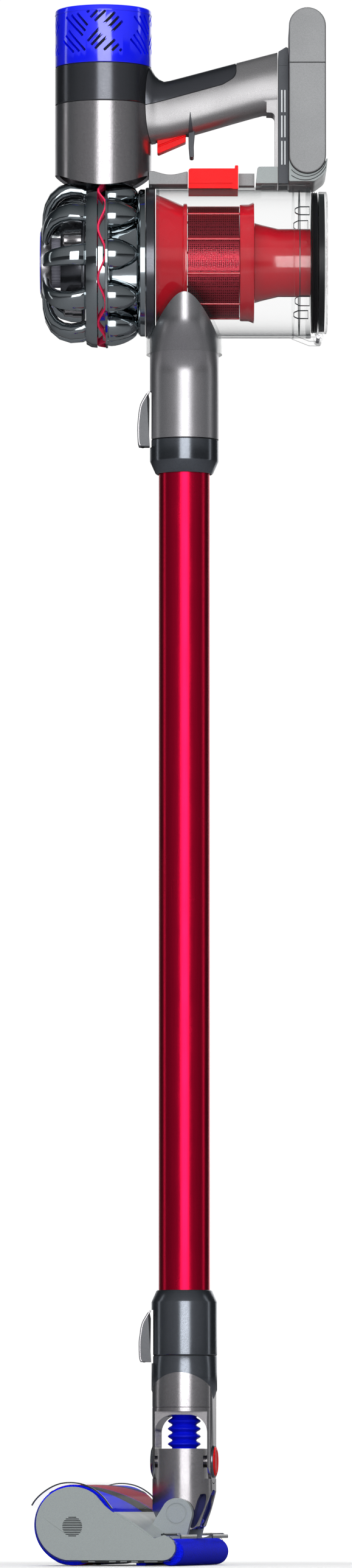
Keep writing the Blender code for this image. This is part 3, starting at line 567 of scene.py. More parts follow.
def cyclone_shell():
    for i in range(10):
        a = 2 * math.pi * i / 10 + math.pi
        place = on_bin(52.6, a)
        profile = [(0, -63.0), (12.6, -63.0), (13.4, -61.6), (13.4, -59.6), (12.8, -58.6), (13.0, -56.6),
                   (12.7, -53.6), (12.0, -50.4), (10.9, -47), (9.4, -43.6), (7.6, -40.4), (5.6, -37.8),
                   (3.4, -36.2), (0, -35.6)]
        piece(turned("cyclone_%02d" % i, profile, 40, "x", place), "chrome")
    core = [(24, -61.6), (50, -61.6), (50, -58), (44, -56), (44.6, -50), (43.4, -44), (44, -38), (43, -31),
            (24, -31)]
    piece(bin_ring("cyclone_core", core, 120, wave=ripple(1.2, 10, 30)), "chrome", ["cyclone_pack"])
    piece(tube("gasket_bed", 61.5, 40, -66.7, -58.5, 160, "x", BIN), "chrome")
    profile = [(40, -61.4), (64, -61.4), (66, -61.0), (66, -59.4), (63, -58.6), (40, -58.6)]
    piece(bin_ring("cyclone_plate", profile, 200, wave=ripple(1.0, 10, 50)), "chrome")
    profile = [(56, -64.5), (66.4, -64.5), (66.9, -64.1), (66.9, -63.3), (66.4, -62.9), (56, -62.9)]
    piece(bin_ring("wavy_gasket", profile, 300, wave=gasket_wave), "gasket", ["cyclone_gasket"])
    profile = [(24, -37), (50, -37), (55.6, -35.6), (57.2, -34), (57.2, -30.4), (24, -30.4)]
    piece(bin_ring("cyclone_base", profile, 160), "chrome")
    profile = [(48, -77.0), (58, -77.4), (63.4, -76), (65.6, -72), (66, -67.5), (64, -66.6), (48, -66.6)]
    piece(bin_ring("scroll_faces", profile, 200, wave=scroll_wave), "chrome", ["scroll_ring"])


def duct_finger(name, angle):
    """One curved duct over the end of the cyclones; path is (x, radius)."""
    path = [(-74, 54), (-80, 57.3), (-88, 58), (-95, 56), (-100.6, 51.4), (-104.3, 45), (-106.3, 38),
            (-107.2, 31), (-107.6, 24)]
    wide = [9.0, 8.6, 7.8, 7.2, 6.6, 6.0, 5.2, 4.6, 3.8]
    deep = [5.0, 5.2, 5.2, 5.0, 4.8, 4.4, 3.8, 3.2, 2.6]
    sections = []
    for k, (x, r) in enumerate(path):
        before = Vector(path[max(k - 1, 0)])
        after = Vector(path[min(k + 1, len(path) - 1)])
        way = (after - before).normalized()
        side = Vector((-way.y, way.x))
        twist = angle + 0.1 * k / len(path)
        c, s = math.cos(twist), math.sin(twist)
        ring = []
        for i in range(20):
            b = 2 * math.pi * i / 20
            t = wide[k] * soft(math.cos(b), 0.7)
            rise = deep[k] * soft(math.sin(b), 0.7)
            out = r + side.y * rise
            ring.append((x + side.x * rise, out * c - t * s, BIN_Z + out * s + t * c))
        sections.append(ring)
    return lofted(name, sections, 60)


def cyclone_ducts():
    for i in range(10):
        piece(duct_finger("duct_%02d" % i, 2 * math.pi * (i + 0.5) / 10 + math.pi / 2), "chrome")
    profile = [(21, -111.2), (27, -111.2), (27.8, -110.6), (27.8, -106), (26, -103), (21, -103)]
    piece(bin_ring("duct_end_disc", profile, 96), "nickel", ["cyclone_ducts"])
    back = bin_ring("duct_back", [(24, -79.6), (52, -79.6), (54, -78), (54, -77.2), (24, -77.2)], 96)
    piece(back, "dark")
    for i in range(5):
        a = 2 * math.pi * i / 5 + math.pi / 2
        place = on_bin(40.5, a)
        profile = [(0, -94), (5.4, -94), (6.4, -93), (6.4, -88), (7.2, -86.5), (7.2, -80), (0, -80)]
        piece(turned("inner_cyclone_%d" % i, profile, 32, "x", place), "nickel")
    hub = bin_ring("inner_cyclone_hub", [(22, -96), (30, -96), (33, -92), (34, -80), (22, -80)], 64)
    piece(hub, "dark", ["inner_cyclones"])
    profile = [(0, -112.2), (23, -112.2), (24.6, -111.8), (24.6, -111.5), (20.4, -111.5), (20.4, -106),
               (0, -106)]
    piece(bin_ring("prefilter_knob", profile, 96), "blue", ["prefilter_cap"], body="prefilter")
    sleeve = bin_ring("prefilter_felt", [(15, -105.7), (19.6, -105.7), (19.6, -84), (15, -84)], 120,
                      wave=pleated(0.8, 40, 17))
    piece(sleeve, "pleats", ["prefilter_sleeve"], body="prefilter")


# ---------------------------------------------------------------- bin, shroud and lid

def shroud():
    profile = [(50, -30.1), (57.6, -30.1), (58.5, -29.2), (58.5, -23.4), (57.8, -22.6), (50, -22.6)]
    piece(bin_ring("bin_collar_ring", profile), "dark", ["bin_collar"])
    profile = [(51.2, -22), (53.4, -22), (49, -11), (44.6, -0.9), (45.8, -0.6), (46.1, 0), (46.1, 1.8),
               (45.6, 2.3), (41, 2.3), (41, -0.6)]
    piece(bin_ring("shroud_cone_shell", profile), "red_glass", ["shroud_cone"])
    piece(tube("shroud_screen", 43.5, 42.7, 2.7, 42.7, 128, "x", BIN), "mesh", ["shroud_mesh"])
    for i in range(10):
        a = 2 * math.pi * (i + 0.5) / 10
        place = on_bin(43.3, a)
        piece(rod("screen_rib_%02d" % i, 0.95, 2.4, 43, 12, "x", place), "red_glass")
    profile = [(42, 43.2), (44.9, 43.2), (45.3, 44), (45.4, 50), (46.9, 53.6), (46.6, 54.2), (31.9, 54.2),
               (31.9, 52), (42, 51.5)]
    piece(bin_ring("shroud_skirt_ring", profile), "red_glass", ["shroud_skirt"])
    profile = [(31.2, 54.6), (29.6, 60), (26.5, 72.9), (26.5, 98), (24.7, 98), (24.7, 72.9), (29.4, 54.6)]
    piece(bin_ring("fines_cone", profile, 96), "red_glass", ["fines_tube"])


def dust_bin():
    tank = rod("bin_shell", 58.7, -21.9, 98.3, 160, "x", BIN)
    join(tank, block("ledge", (60, -24, 1050), (97.8, 24, 1067.8)))
    for side in (-1, 1):
        low, high = span(side, 12.2, 16.8)
        outline = rounded([(80, 954), (84, 951), (97, 945.8, 6), (107.8, 945.6, 3.6), (107.8, 952.7, 3.6),
                           (97, 952.7)])
        join(tank, slab("lug", outline, low, high))
    cut(tank, rod("hollow", 56.8, -27, 104, 160, "x", BIN))
    cut(tank, rod("port", 18, 930, 970, 48, phase=0.031), "MANIFOLD")
    piece(tank, "clear", ["bin"], body="dust_bin")
    rims = (("bin_rim_front", -21.9, -19.4), ("bin_bead", 84.0, 85.2), ("bin_rim_back", 94.5, 98.3))
    for name, x0, x1 in rims:
        piece(tube(name, 58.75, 56.4, x0, x1, 160, "x", BIN), "clear", body="dust_bin", bevel=0.3)
    for i, turn in enumerate((51.3, 128.7, -51.3, -128.7)):
        fin = rounded([(85.4, -2.4, 2.2), (85.4, 2.4, 2.2), (89, 4.6, 0.8), (97, 4.6), (97, -4.6),
                       (89, -4.6, 0.8)], 4)
        hollow = offset(fin, -0.45, True)
        ring = slab("bin_fin_%d" % i, fin, 55.6, 56.5, "xy")
        cut(ring, slab("inside", hollow, 53.6, 58.5, "xy"))
        ring.data.transform(Matrix.Translation(-OFF * MM))
        round_bin = Matrix.Rotation(math.radians(turn), 4, "X")
        ring.data.transform(Matrix.Translation((OFF + Vector(BIN)) * MM) @ round_bin)
        piece(ring, "smoke", body="dust_bin")
    piece(tube("bin_bead_line", 56.9, 56.0, 89.0, 89.7, 160, "x", BIN), "smoke", body="dust_bin")
    profile = [(50, 98.8), (54.2, 98.8), (55, 99.6), (54.2, 100.5), (55, 101.2), (54.2, 102), (54.8, 102.8),
               (54, 103.5), (50, 103.5)]
    piece(bin_ring("bin_seal_ring", profile), "seal", ["bin_seal"], body="dust_bin")
    profile = [(0, 108.8), (51.5, 108.8), (51.5, 104.2), (54.6, 104.2), (55.2, 104.8), (55.2, 110.4),
               (54.4, 111.1), (49, 111.1), (48, 110.4), (20, 110.4), (19, 111.1), (0, 111.1)]
    lid = bin_ring("lid_disc", profile)
    arm = rounded([(104.4, 953.3), (100.4, 953.1, 3.8), (100.4, 945.4, 3.8), (107.9, 945.4, 3.8),
                   (109.5, 957), (105, 957)])
    join(lid, slab("arm", arm, -11.5, 11.5))
    piece(lid, "clear", ["bin_lid"], body="lid")
    piece(tube("lid_ring", 53.6, 51.6, 104.3, 108.7, 128, "x", BIN), "seal", body="lid")
    carry("steel", "lid_pin")
    outline = rounded([(3.3, 1055), (39.1, 1055), (39.1, 1059.3), (41.9, 1059.3), (41.9, 1082.3, 0.8),
                       (39.4, 1082.3, 0.8), (39.1, 1079.9), (3.3, 1079.9, 2)])
    slider = slab("release_slider_body", outline, -21.8, 21.8)
    cut(slider, rod("bin_curve", 59.2, 0, 50, 128, "x", BIN))
    cut(slider, [block("groove", (0, -25, 1067.4), (37.5, -20.8, 1068.4)),
                 block("groove", (0, -25, 1063.4), (37.5, -20.6, 1064.4))])
    piece(slider, "red", ["release_slider"], body="dust_bin", bevel=0.5)
    carry("silver", "push_bar")


# ---------------------------------------------------------------- handle, trigger, post and battery

def housing_gap(radius=37.8, segments=96):
    """Cutter that clears the motor column."""
    return rod("housing_gap", radius, 1060, 1190, segments, centre=MOTOR)


def grip_section(x, top, bottom, half):
    """Softened box section of the handle at one x."""
    ring = []
    for k in range(48):
        a = 2 * math.pi * k / 48
        y = half * soft(math.cos(a), 0.72)
        rise = (top - bottom) / 2 * soft(math.sin(a), 0.82)
        ring.append((x, y, (top + bottom) / 2 + rise))
    return ring


def grip_body(grow):
    """The handle's bar, drawn in by grow; each station is x, top, bottom and half width."""
    stations = [
        (-48, 1174, 1097, 20), (-34, 1170, 1100.5, 19.2), (-27, 1163.5, 1101.4, 18.3),
        (-24.6, 1158.6, 1101.9, 17.8), (-22.4, 1155, 1102.3, 17.4), (-19.6, 1152.2, 1102.8, 17.1),
        (-15.7, 1150.4, 1103.6, 17), (-11, 1151.2, 1104.4, 17), (0, 1154.1, 1106.8, 17),
        (18, 1158.9, 1111.9, 17), (36, 1163.7, 1117.2, 17), (54, 1168.4, 1122.3, 17),
        (61, 1170.3, 1124.1, 17), (72.5, 1173.3, 1124.5, 17),
    ]
    rings = [grip_section(x, top - grow, low + grow, half - grow) for x, top, low, half in stations]
    return lofted("grip_body", rings, 50)


def fillet_wall():
    profile = rounded([(72.5, 1082.1, 0), (72.5, 1160, 0), (64, 1156, 0), (64, 1124.6, 0),
                       (70.4, 1124.3, 4), (70.4, 1082.1, 0)], 10)
    return slab("grip_wall", profile, -15, 15)


def handle():
    body = grip_body(0)
    join(body, fillet_wall())
    outline = rounded([(4.2, 1090.3, 1.4), (7.6, 1090.3, 1.4), (7.4, 1100, 6), (8.6, 1114, 0),
                       (3.2, 1114, 0), (3.4, 1100, 6)])
    guard = slab("finger_guard_fin", outline, -9, 9)
    tip = grip_body(-0.3)
    outline = [(3.2, 1100), (8.4, 1100), (6.6, 1112), (4.9, 1124.5), (4.4, 1124.5), (3.3, 1112)]
    keep(tip, slab("tip_outline", outline, -20, 20))
    piece(tip, "post")
    piece(guard, "post", bevel=0.5, segments=2)
    cut(body, housing_gap(segments=128))
    cut(body, block("trigger_pocket", (-22, -7.6, 1085), (2.4, 7.6, 1117)))
    cover = body.copy()
    cover.data = body.data.copy()
    cover.name = "grip_cover"
    bpy.context.collection.objects.link(cover)
    seam = [(-60, 1129.9), (-30, 1129.9, 6), (-24, 1131.2, 6), (30, 1146.0, 9), (40.6, 1152.6, 8),
            (40.6, 1200), (-60, 1200)]
    inset = [(-60, 1130.5), (-30, 1130.5, 6), (-24, 1131.8, 6), (29.8, 1146.6, 9), (40.0, 1152.8, 8),
             (40.0, 1200), (-60, 1200)]
    keep(cover, slab("seam", rounded(inset), -30, 30))
    cut(body, slab("seam", rounded(seam), -30, 30))
    piece(body, "grip", ["handle_grip"])
    piece(cover, "dark", ["handle_cover"])
    core = grip_body(0.8)
    cut(core, housing_gap(38.4))
    keep(core, block("core_room", (-40, -30, 1127), (46, 30, 1180)))
    piece(core, "black")
    shape = rounded([(-21, 1093, 1.2), (1.2, 1102.7, 1.2), (1.2, 1110.8, 3), (-2, 1112.6, 3),
                     (-21, 1106.5, 1)])
    lever = slab("trigger_lever", shape, -7, 7)
    groove = slab("finger_groove", [(-24, 1098.4), (4, 1109.6), (4, 1108.4), (-24, 1097.2)], -8, -6.2)
    cut(lever, groove)
    piece(lever, "red", ["trigger"], body="trigger_lever", bevel=1.1, segments=3)


def stadium(x0, x1, z0, z1, steps=24):
    """Upright outline with half-round ends."""
    r = (x1 - x0) / 2
    middle = (x0 + x1) / 2
    step = 180 / steps
    return arc(middle, z1 - r, r, 0, step, steps + 1) + arc(middle, z0 + r, r, 180, step, steps + 1)


def battery(grow):
    """The battery's outline seen from the side, grown all round."""
    return stadium(81.3 - grow, 109.8 + grow, 1074.5 - grow, 1203.8 + grow)


def rear_end():
    outline = rounded([(73.1, 1068.5, 0.5), (80.9, 1068.5, 0.5), (80.9, 1176.2, 1.6), (73.1, 1171.4, 1)])
    strip = slab("post_strip_body", outline, -19.8, 19.8)
    for x in (75.8, 78.2):
        for low, high in ((1083, 1101.8), (1104.4, 1121.6), (1124, 1141.6)):
            cut(strip, slab("slot", bar(x - 0.6, x + 0.6, low, high, 0.6, 4), -21, -19.2))
            piece(slab("post_light", bar(x - 0.5, x + 0.5, low, high, 0.5, 4), -19.6, -19.25), "pale")
    cut(strip, slab("oval", stadium(75.8, 77.8, 1147, 1153, 10), -21, -19.4))
    cut(strip, block("fine_seam", (72, -21, 1160.4), (82, -19.4, 1160.8)))
    piece(strip, "post", ["post_strip"], bevel=0.25)
    outline = rounded([(55.5, 1068.5, 0.8), (72.6, 1068.5), (72.6, 1081.6), (57, 1081.6, 2)])
    base = slab("dock_base", outline, -19.8, 19.8)
    cut(base, block("bar_pocket", (50, -6.6, 1068), (70, 6.6, 1078.6)))
    piece(base, "shell", ["base_block"], bevel=0.4)
    case = slab("battery_shell", battery(0), -33.2, 36)
    piece(case, "silver", ["battery_case", "battery_cells"], bevel=1.2, segments=4)
    piece(slab("battery_line", battery(-0.6), -34.2, -33), "black")
    plate = slab("battery_face", battery(-0.1), -36, -33.8)
    piece(plate, "silver", ["battery_plate"], bevel=1.0, segments=4)
    piece(slab("battery_outline", battery(0.1), -35.0, -34.3), "black")
    piece(block("battery_seam", (81.6, -36.05, 1160.4), (109.5, -35.6, 1161.2)), "black")
    outline = rounded([(81.3, 1068.5, 1), (101, 1068.5, 5), (109.6, 1075, 8), (111.2, 1086), (81.3, 1086)])
    foot = slab("battery_foot", outline, -32.8, 32.8)
    cut(foot, slab("seat", stadium(80.9, 110.2, 1074.1, 1203.8), -40, 40))
    piece(foot, "shell", ["battery_base"], bevel=0.3)
    for k, grow in enumerate((2.6, 5.4)):
        x0, x1 = 81.4 - grow, 109.7 + grow * 0.35
        ring = slab("foot_line_%d" % k, stadium(x0, x1, 1074.5 - grow, 1203.7 + grow), -33.1, -32.6)
        cut(ring, slab("inside", stadium(x0 + 0.5, x1 - 0.5, 1075.0 - grow, 1203.2 + grow), -40, 40))
        outline = rounded([(83, 1068.8), (100.8, 1068.8, 5), (109.2, 1075, 8), (110.6, 1084), (83, 1084)])
        keep(ring, slab("room", outline, -40, 40))
        piece(ring, "black")
    dish = rounded([(-27.6, 1068.5), (2.7, 1068.5), (2.7, 1078.8, 0.8), (-11, 1075.4, 34), (-24, 1079, 1),
                    (-27.6, 1079)], 10)
    rail = slab("thumb_rail", dish, -13.8, 13.8)
    cut(rail, housing_gap())
    piece(rail, "silver", ["rail"], slot="nickel", bevel=0.5)


# ---------------------------------------------------------------- inlet, wand and collars

def oval(rx, ry, z):
    turn = [2 * math.pi * k / 96 for k in range(96)]
    return [(rx * math.cos(a), ry * math.sin(a), z) for a in turn]


def flare(name, grow, low):
    """The inlet duct's outline from bottom to top, widening across the machine; low cuts off its foot."""
    bottom, top, rings = 870.4, 1000, 40
    radius = 26.75 + grow
    sections = []
    for k in range(rings):
        z = bottom + (top - bottom) * k / (rings - 1)
        t = min(1.0, max(0.0, (z - 920) / 42))
        if z >= low:
            sections.append(oval(radius, radius + 25.2 * t * t * (3 - 2 * t), z))
    return lofted(name, sections)


def press_plate(name, z0, z1, root, body, node):
    """Release button: a bowed grip with a thin outer plate, pointed at the top."""
    out = root + 8.3
    bow = smooth([(-root - 0.2, z1 - 0.2), (-root - 3.0, z1 - 4.6), (-out + 2.0, z1 - 11),
                  (-out + 0.5, z1 - 20), (-out, z0 + 15), (-out + 0.25, z0 + 4.5), (-out + 1.2, z0 + 1.2)])
    outline = offset(bow, -1.5)[2:] + [(-out + 3.5, z0 + 0.6), (-root - 0.2, z0 + 0.6)]
    grip = slab(name + "_grip", outline, -7.2, 7.2)
    piece(grip, "pad", body=body, bevel=0.7, segments=3)
    back = [(-out + 2.6, z0 + 0.3), (-root - 0.8, z0 + 1.4), (-root - 0.4, z1 - 6)]
    dark = slab(name + "_gap", offset(bow, -0.9)[1:] + back, -6.9, 6.9)
    piece(dark, "black", body=body)
    plate = slab(name, bow + offset(bow, -1.0)[::-1], -7.3, 7.3)
    piece(plate, "nickel", [node], body=body, slot="silver_satin", bevel=0.3)


def press_pocket(z0, z1, root):
    """Recess behind a release button, so that it has room to be pressed."""
    return block("press_pocket", (-root - 6, -7.9, z0 - 0.4), (-root + 1.7, 7.9, z1 + 0.6))


def inlet_and_wand():
    duct = flare("inlet_duct_shell", -0.05, 0)
    cut(duct, rod("bin_curve", 59.3, -60, 60, 160, "x", BIN))
    cut(duct, rod("bore", 20.6, 860, 1000, 64))
    cut(duct, press_pocket(*WAND_BUTTON))
    piece(duct, "duct", ["inlet_duct"])
    rim = flare("inlet_frame_shell", 2.7, 935)
    cut(rim, flare("inside", 0.3, 0))
    cut(rim, rod("bin_curve", 59.2, -60, 60, 160, "x", BIN))
    piece(rim, "clear", ["inlet_frame"])
    profile = [(20.1, 843.6), (21.6, 843.6), (22.4, 844.2), (26.4, 852.8), (26.7, 853.8), (26.7, 869.3),
               (26.3, 869.7), (20.1, 869.7)]
    collar = turned("upper_collar_ring", profile, 128)
    cut(collar, press_pocket(*WAND_BUTTON))
    piece(collar, "collar", ["upper_collar"])
    seam = tube("upper_collar_seam", 26.1, 20.3, 869.5, 870.6, 96)
    cut(seam, press_pocket(*WAND_BUTTON))
    piece(seam, "black")
    profile = [(18.1, 166), (19.7, 166), (19.75, 205), (19.75, 850), (19.7, 868), (18.1, 868)]
    piece(turned("wand_pipe", profile, 128), "wand", ["wand_tube"])
    profile = [(20.1, 161.3), (24.9, 161.3), (25.35, 161.8), (25.35, 202), (25.1, 202.9), (21.7, 210.6),
               (21.0, 211.3), (20.1, 211.3)]
    low = turned("lower_collar_ring", profile, 128)
    cut(low, press_pocket(*HEAD_BUTTON))
    piece(low, "collar", ["lower_collar"])
    press_plate("wand_release", *WAND_BUTTON, "wand_catch", "wand_button")
    press_plate("head_release", *HEAD_BUTTON, "head_catch", "head_button")


# ---------------------------------------------------------------- neck, in the head's own turned frame

YOKE_R, YOKE_FLAT = 26.5, 22.8
PITCH_Z = 39.5
PITCH = (0, 0, PITCH_Z)
ROLL = (0, 0, 79.7)


def hose(name, crests, pitch, low, high, crest, root, centre):
    """Bellows with round crests, closed inside by a straight bore."""
    wall = 1.5
    steps = int((high - low) / pitch * 12)
    profile = [(root - wall, low)]
    for k in range(steps + 1):
        z = low + (high - low) * k / steps
        wave = 0.5 + 0.5 * math.cos(2 * math.pi * (z - crests) / pitch)
        profile.append((root + (crest - root) * wave ** 0.8, z))
    profile.append((root - wall, high))
    return turned(name, profile, 72, centre=centre)


def spread_hose(item, node):
    """A hose that stretches between two bodies."""
    item.data.materials.append(M["hose"])
    item.data.transform(HEAD_TURN)
    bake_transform(item)
    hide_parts(node)


def neck():
    profile = [(0, 60), (YOKE_R, 60), (YOKE_R, 120.8), (YOKE_R - 0.5, 121.05), (YOKE_R - 0.5, 121.35),
               (YOKE_R, 121.6), (YOKE_R, 135), (25.6, 148.0), (0, 148.0)]
    yoke = turned("yoke_shell", profile, 144)
    arch = [(-YOKE_FLAT, 60), (YOKE_FLAT, 60), (YOKE_FLAT, 136)]
    arch += arc(0, 119.4, 28.6, 40, 5, 21) + [(-YOKE_FLAT, 136)]
    keep(yoke, slab("arch", arch, -30, 30))
    legs = rounded([(-30, 118), (-17, 118), (-17, 63.0, 16.9), (17, 63.0, 16.9), (17, 118), (30, 118),
                    (30, 160), (-30, 160)], 16)
    keep(yoke, slab("legs", legs, -30, 30, "yz"))
    window = rounded([(-20.4, 50), (20.4, 50), (20.4, 115.5, 14), (-20.4, 115.5, 14)], 14)
    cut(yoke, slab("window", window, -32, 32))
    cut(yoke, rod("bore", 13.6, 100, 170, 48, phase=0.017))
    cut(yoke, rod("socket", 25.0, 137, 170, 96, phase=0.031))
    head_piece(yoke, "nickel", ["yoke"], body="main_unit", bevel=0.45, segments=3)
    profile = [(14, 123), (21.6, 124.6), (25.1, 133.9), (25.35, 134.5), (25.35, 160.2), (25.0, 160.7),
               (14, 160.7)]
    collar = turned("neck_collar", profile, 128)
    pocket = press_pocket(*HEAD_BUTTON)
    pocket.data.transform(HEAD_TURN.inverted())
    cut(collar, pocket)
    head_piece(collar, "collar", body="main_unit")
    seam = tube("neck_seam", 24.9, 20.4, 160.5, 161.6, 96)
    cut(seam, press_pocket(*HEAD_BUTTON))
    piece(seam, "black")
    for k in range(9):
        rib = rod("yoke_rib_%d" % k, 0.55, 90.6, 112.5 - 0.35 * abs(k - 4) ** 1.4, 12,
                  centre=(-20.5, -13.6 + 3.4 * k, 0))
        head_piece(rib, "nickel", body="main_unit")
    post = [(0, 14.2), (4.4, 14.2), (4.7, 14.5), (4.7, 22.8), (0, 22.8)]
    face = [(0, 22.6), (11.4, 22.6), (11.4, 24.2), (11.0, 24.8), (9.8, 25.2), (8.6, 25.3), (8.2, 24.9),
            (0, 24.7)]
    surround = [(11.5, 22.2), (12.6, 22.2), (12.6, 23.6), (12.2, 24.3), (11.5, 24.3)]
    for name, side, look in (("roll_cap_rear", 1, "red"), ("roll_cap_front", -1, "nickel")):
        head_piece(turned(name + "_stub", mirrored(post, side), 48, "x", ROLL), "nickel", body="main_unit")
        cap = turned(name + "_disc", mirrored(face, side), 72, "x", ROLL)
        head_piece(cap, look, [name], body="main_unit")
        ring = turned(name + "_surround", mirrored(surround, side), 72, "x", ROLL)
        head_piece(ring, "collar", body="main_unit")
    lower = rod("lower_neck_shell", YOKE_R - 0.2, 26, 89.4, 144, phase=0.02)
    side_view = rounded([(-YOKE_FLAT, 43), (-19, 36), (-11.4, 28.2), (9, 27.4, 2), (13.4, 29.8, 2),
            (18.4, 43, 8), (YOKE_FLAT, 56.5, 4), (YOKE_FLAT, 90), (-YOKE_FLAT, 90)], 8)
    keep(lower, slab("side_view", side_view, -30, 30))
    for side in (-1, 1):
        low, high = span(side, 17.6, 30)
        cut(lower, rod("arm_seat", 17.4, low, high, 96, "x", ROLL, 0.017))
        cut(lower, block("arm_room", (low, -30, 66.4), (high, 30, 95)))
    join(lower, rod("barrel", 12, -29.4, 29.4, 72, "y", PITCH, 0.02))
    cut(lower, rod("throat", 13.4, 58, 95, 64, phase=0.017))
    cut(lower, rod("roll_hole", 5, -24, 24, 24, "x", ROLL, 0.031))
    opening = rounded([(-9.2, 20), (9.2, 20), (9.2, 57.8, 6), (-9.2, 57.8, 6)], 8)
    cut(lower, slab("rear_window", opening, 5.2, 30, "yz"))
    slot = smooth([(15.8, 54.5), (19.6, 54.2), (19.0, 46.5), (16.0, 38.0), (12.6, 30.6), (9.2, 28.6),
                   (9.2, 33.5), (11.6, 42.0), (13.6, 49.6)], 4)
    for side in (-1, 1):
        cut(lower, slab("side_slot", slot, *span(side, 8, 30)))
    head_piece(lower, "nickel", ["lower_neck"], body="neck_lower", bevel=0.4, segments=3)
    shade_plate = smooth([(16.4, 55.6), (20.6, 55.2), (19.8, 46.2), (16.8, 37.6), (13.0, 29.8),
            (11.0, 29.6), (13.2, 37.5), (15.4, 46.5)], 4)
    for side in (-1, 1):
        lining = slab("side_slot_lining_%d" % (side + 2), shade_plate, *span(side, 9.3, 10.1))
        head_piece(lining, "navy", body="neck_lower")
    outer = rounded([(-9.1, 28), (9.1, 28), (9.1, 57.6, 6), (-9.1, 57.6, 6)], 8)
    lining = slab("rear_window_lining", outer, 5.4, 19.5, "yz")
    outline = rounded([(-8.2, 20), (8.2, 20), (8.2, 56.8, 5.4), (-8.2, 56.8, 5.4)], 8)
    cut(lining, slab("inside", outline, 6.2, 30, "yz"))
    cut(lining, slab("slope", [(23, 60), (18.6, 43.6), (13.6, 30), (13, 20), (30, 20), (30, 60)], -20, 20))
    head_piece(lining, "navy", body="neck_lower")
    upper = hose("upper_bellows_hose", 110.7, 5.87, 64.6, 117.0, 12.7, 9.3, (0, 0, 0))
    spread_hose(upper, "upper_bellows")
    low_hose = hose("lower_bellows_hose", 46.8, 6.4, 29.6, 57.0, 6.6, 4.4, (8.8, 0, 0))
    spread_hose(low_hose, "lower_bellows")


# ---------------------------------------------------------------- floor head

COVER = [(-36.4, 41.0), (-36.0, 43.8), (-38.6, 47.2), (-42.3, 52.0), (-47.2, 56.5), (-53.2, 60.3),
         (-60.0, 62.8), (-67.5, 63.8), (-74.5, 63.4), (-80.5, 61.7), (-86.5, 58.6), (-92.3, 54.3),
         (-96.4, 50.0), (-98.9, 46.2), (-98.9, 43.8), (-98.0, 42.4)]


def wrap_strip(name, thick, start, width):
    """Helical strip on the main roller, end to end; start and width are degrees round it."""
    steps, sweep, end = 60, math.radians(-70), 115
    width = math.radians(width)
    sections = []
    for k in range(steps + 1):
        t = k / steps
        a0 = math.radians(start) + sweep * t
        ring = [(30.5, a0 + width * (i / 6 - 0.5)) for i in range(7)]
        for i in range(6, -1, -1):
            ring.append((30.5 + thick * (1 if 0 < i < 6 else 0.6), a0 + width * (i / 6 - 0.5)))
        y = 2 * end * t - end
        sections.append([(ROLLER_X + r * math.cos(a), y, ROLLER_Z + r * math.sin(a)) for r, a in ring])
    return lofted(name, sections)


def cap_outline():
    """Side view of an end cap: round over the roller, then back to the rear roller."""
    tail = [(-58, 4.3), (3.2, 4.3), (6.6, 5.0), (9.9, 7.4), (12.0, 11.2), (12.2, 15.2), (10.4, 19.2),
            (7.0, 22.0), (3.4, 23.4), (1.2, 22.6), (-1.2, 21.6), (-4.3, 21.0), (-8.2, 22.6), (-16.6, 28.7),
            (-27.5, 35.6), (-37.6, 41.6), (-42.6, 46.0)]
    return arc(ROLLER_X, 32, 28, 50, 6, 36) + tail


def roller_and_strips():
    profile = [(21.6, -116.5), (29.2, -116.5), (30.4, -115.4), (30.6, -114), (30.6, 114), (30.4, 115.4),
               (29.2, 116.5), (21.6, 116.5)]
    felt_tube = turned("main_roller_felt", profile, 128, "y", ROLLER)
    head_piece(felt_tube, "felt", ["main_roller"], body="front_roller")
    for k in range(2):
        start = 73 + 180 * k
        for name, look, off, width, thick in (
                ("fibre_strip", "strip", 0, 18, 0.32),
                ("crimson_band", "crimson", 29, 38, 0.2),
                ("fibre_edge", "strip", 52, 7, 0.32)):
            band = wrap_strip("%s_%d" % (name, k), thick, start + off, width)
            head_piece(band, look, body="front_roller")


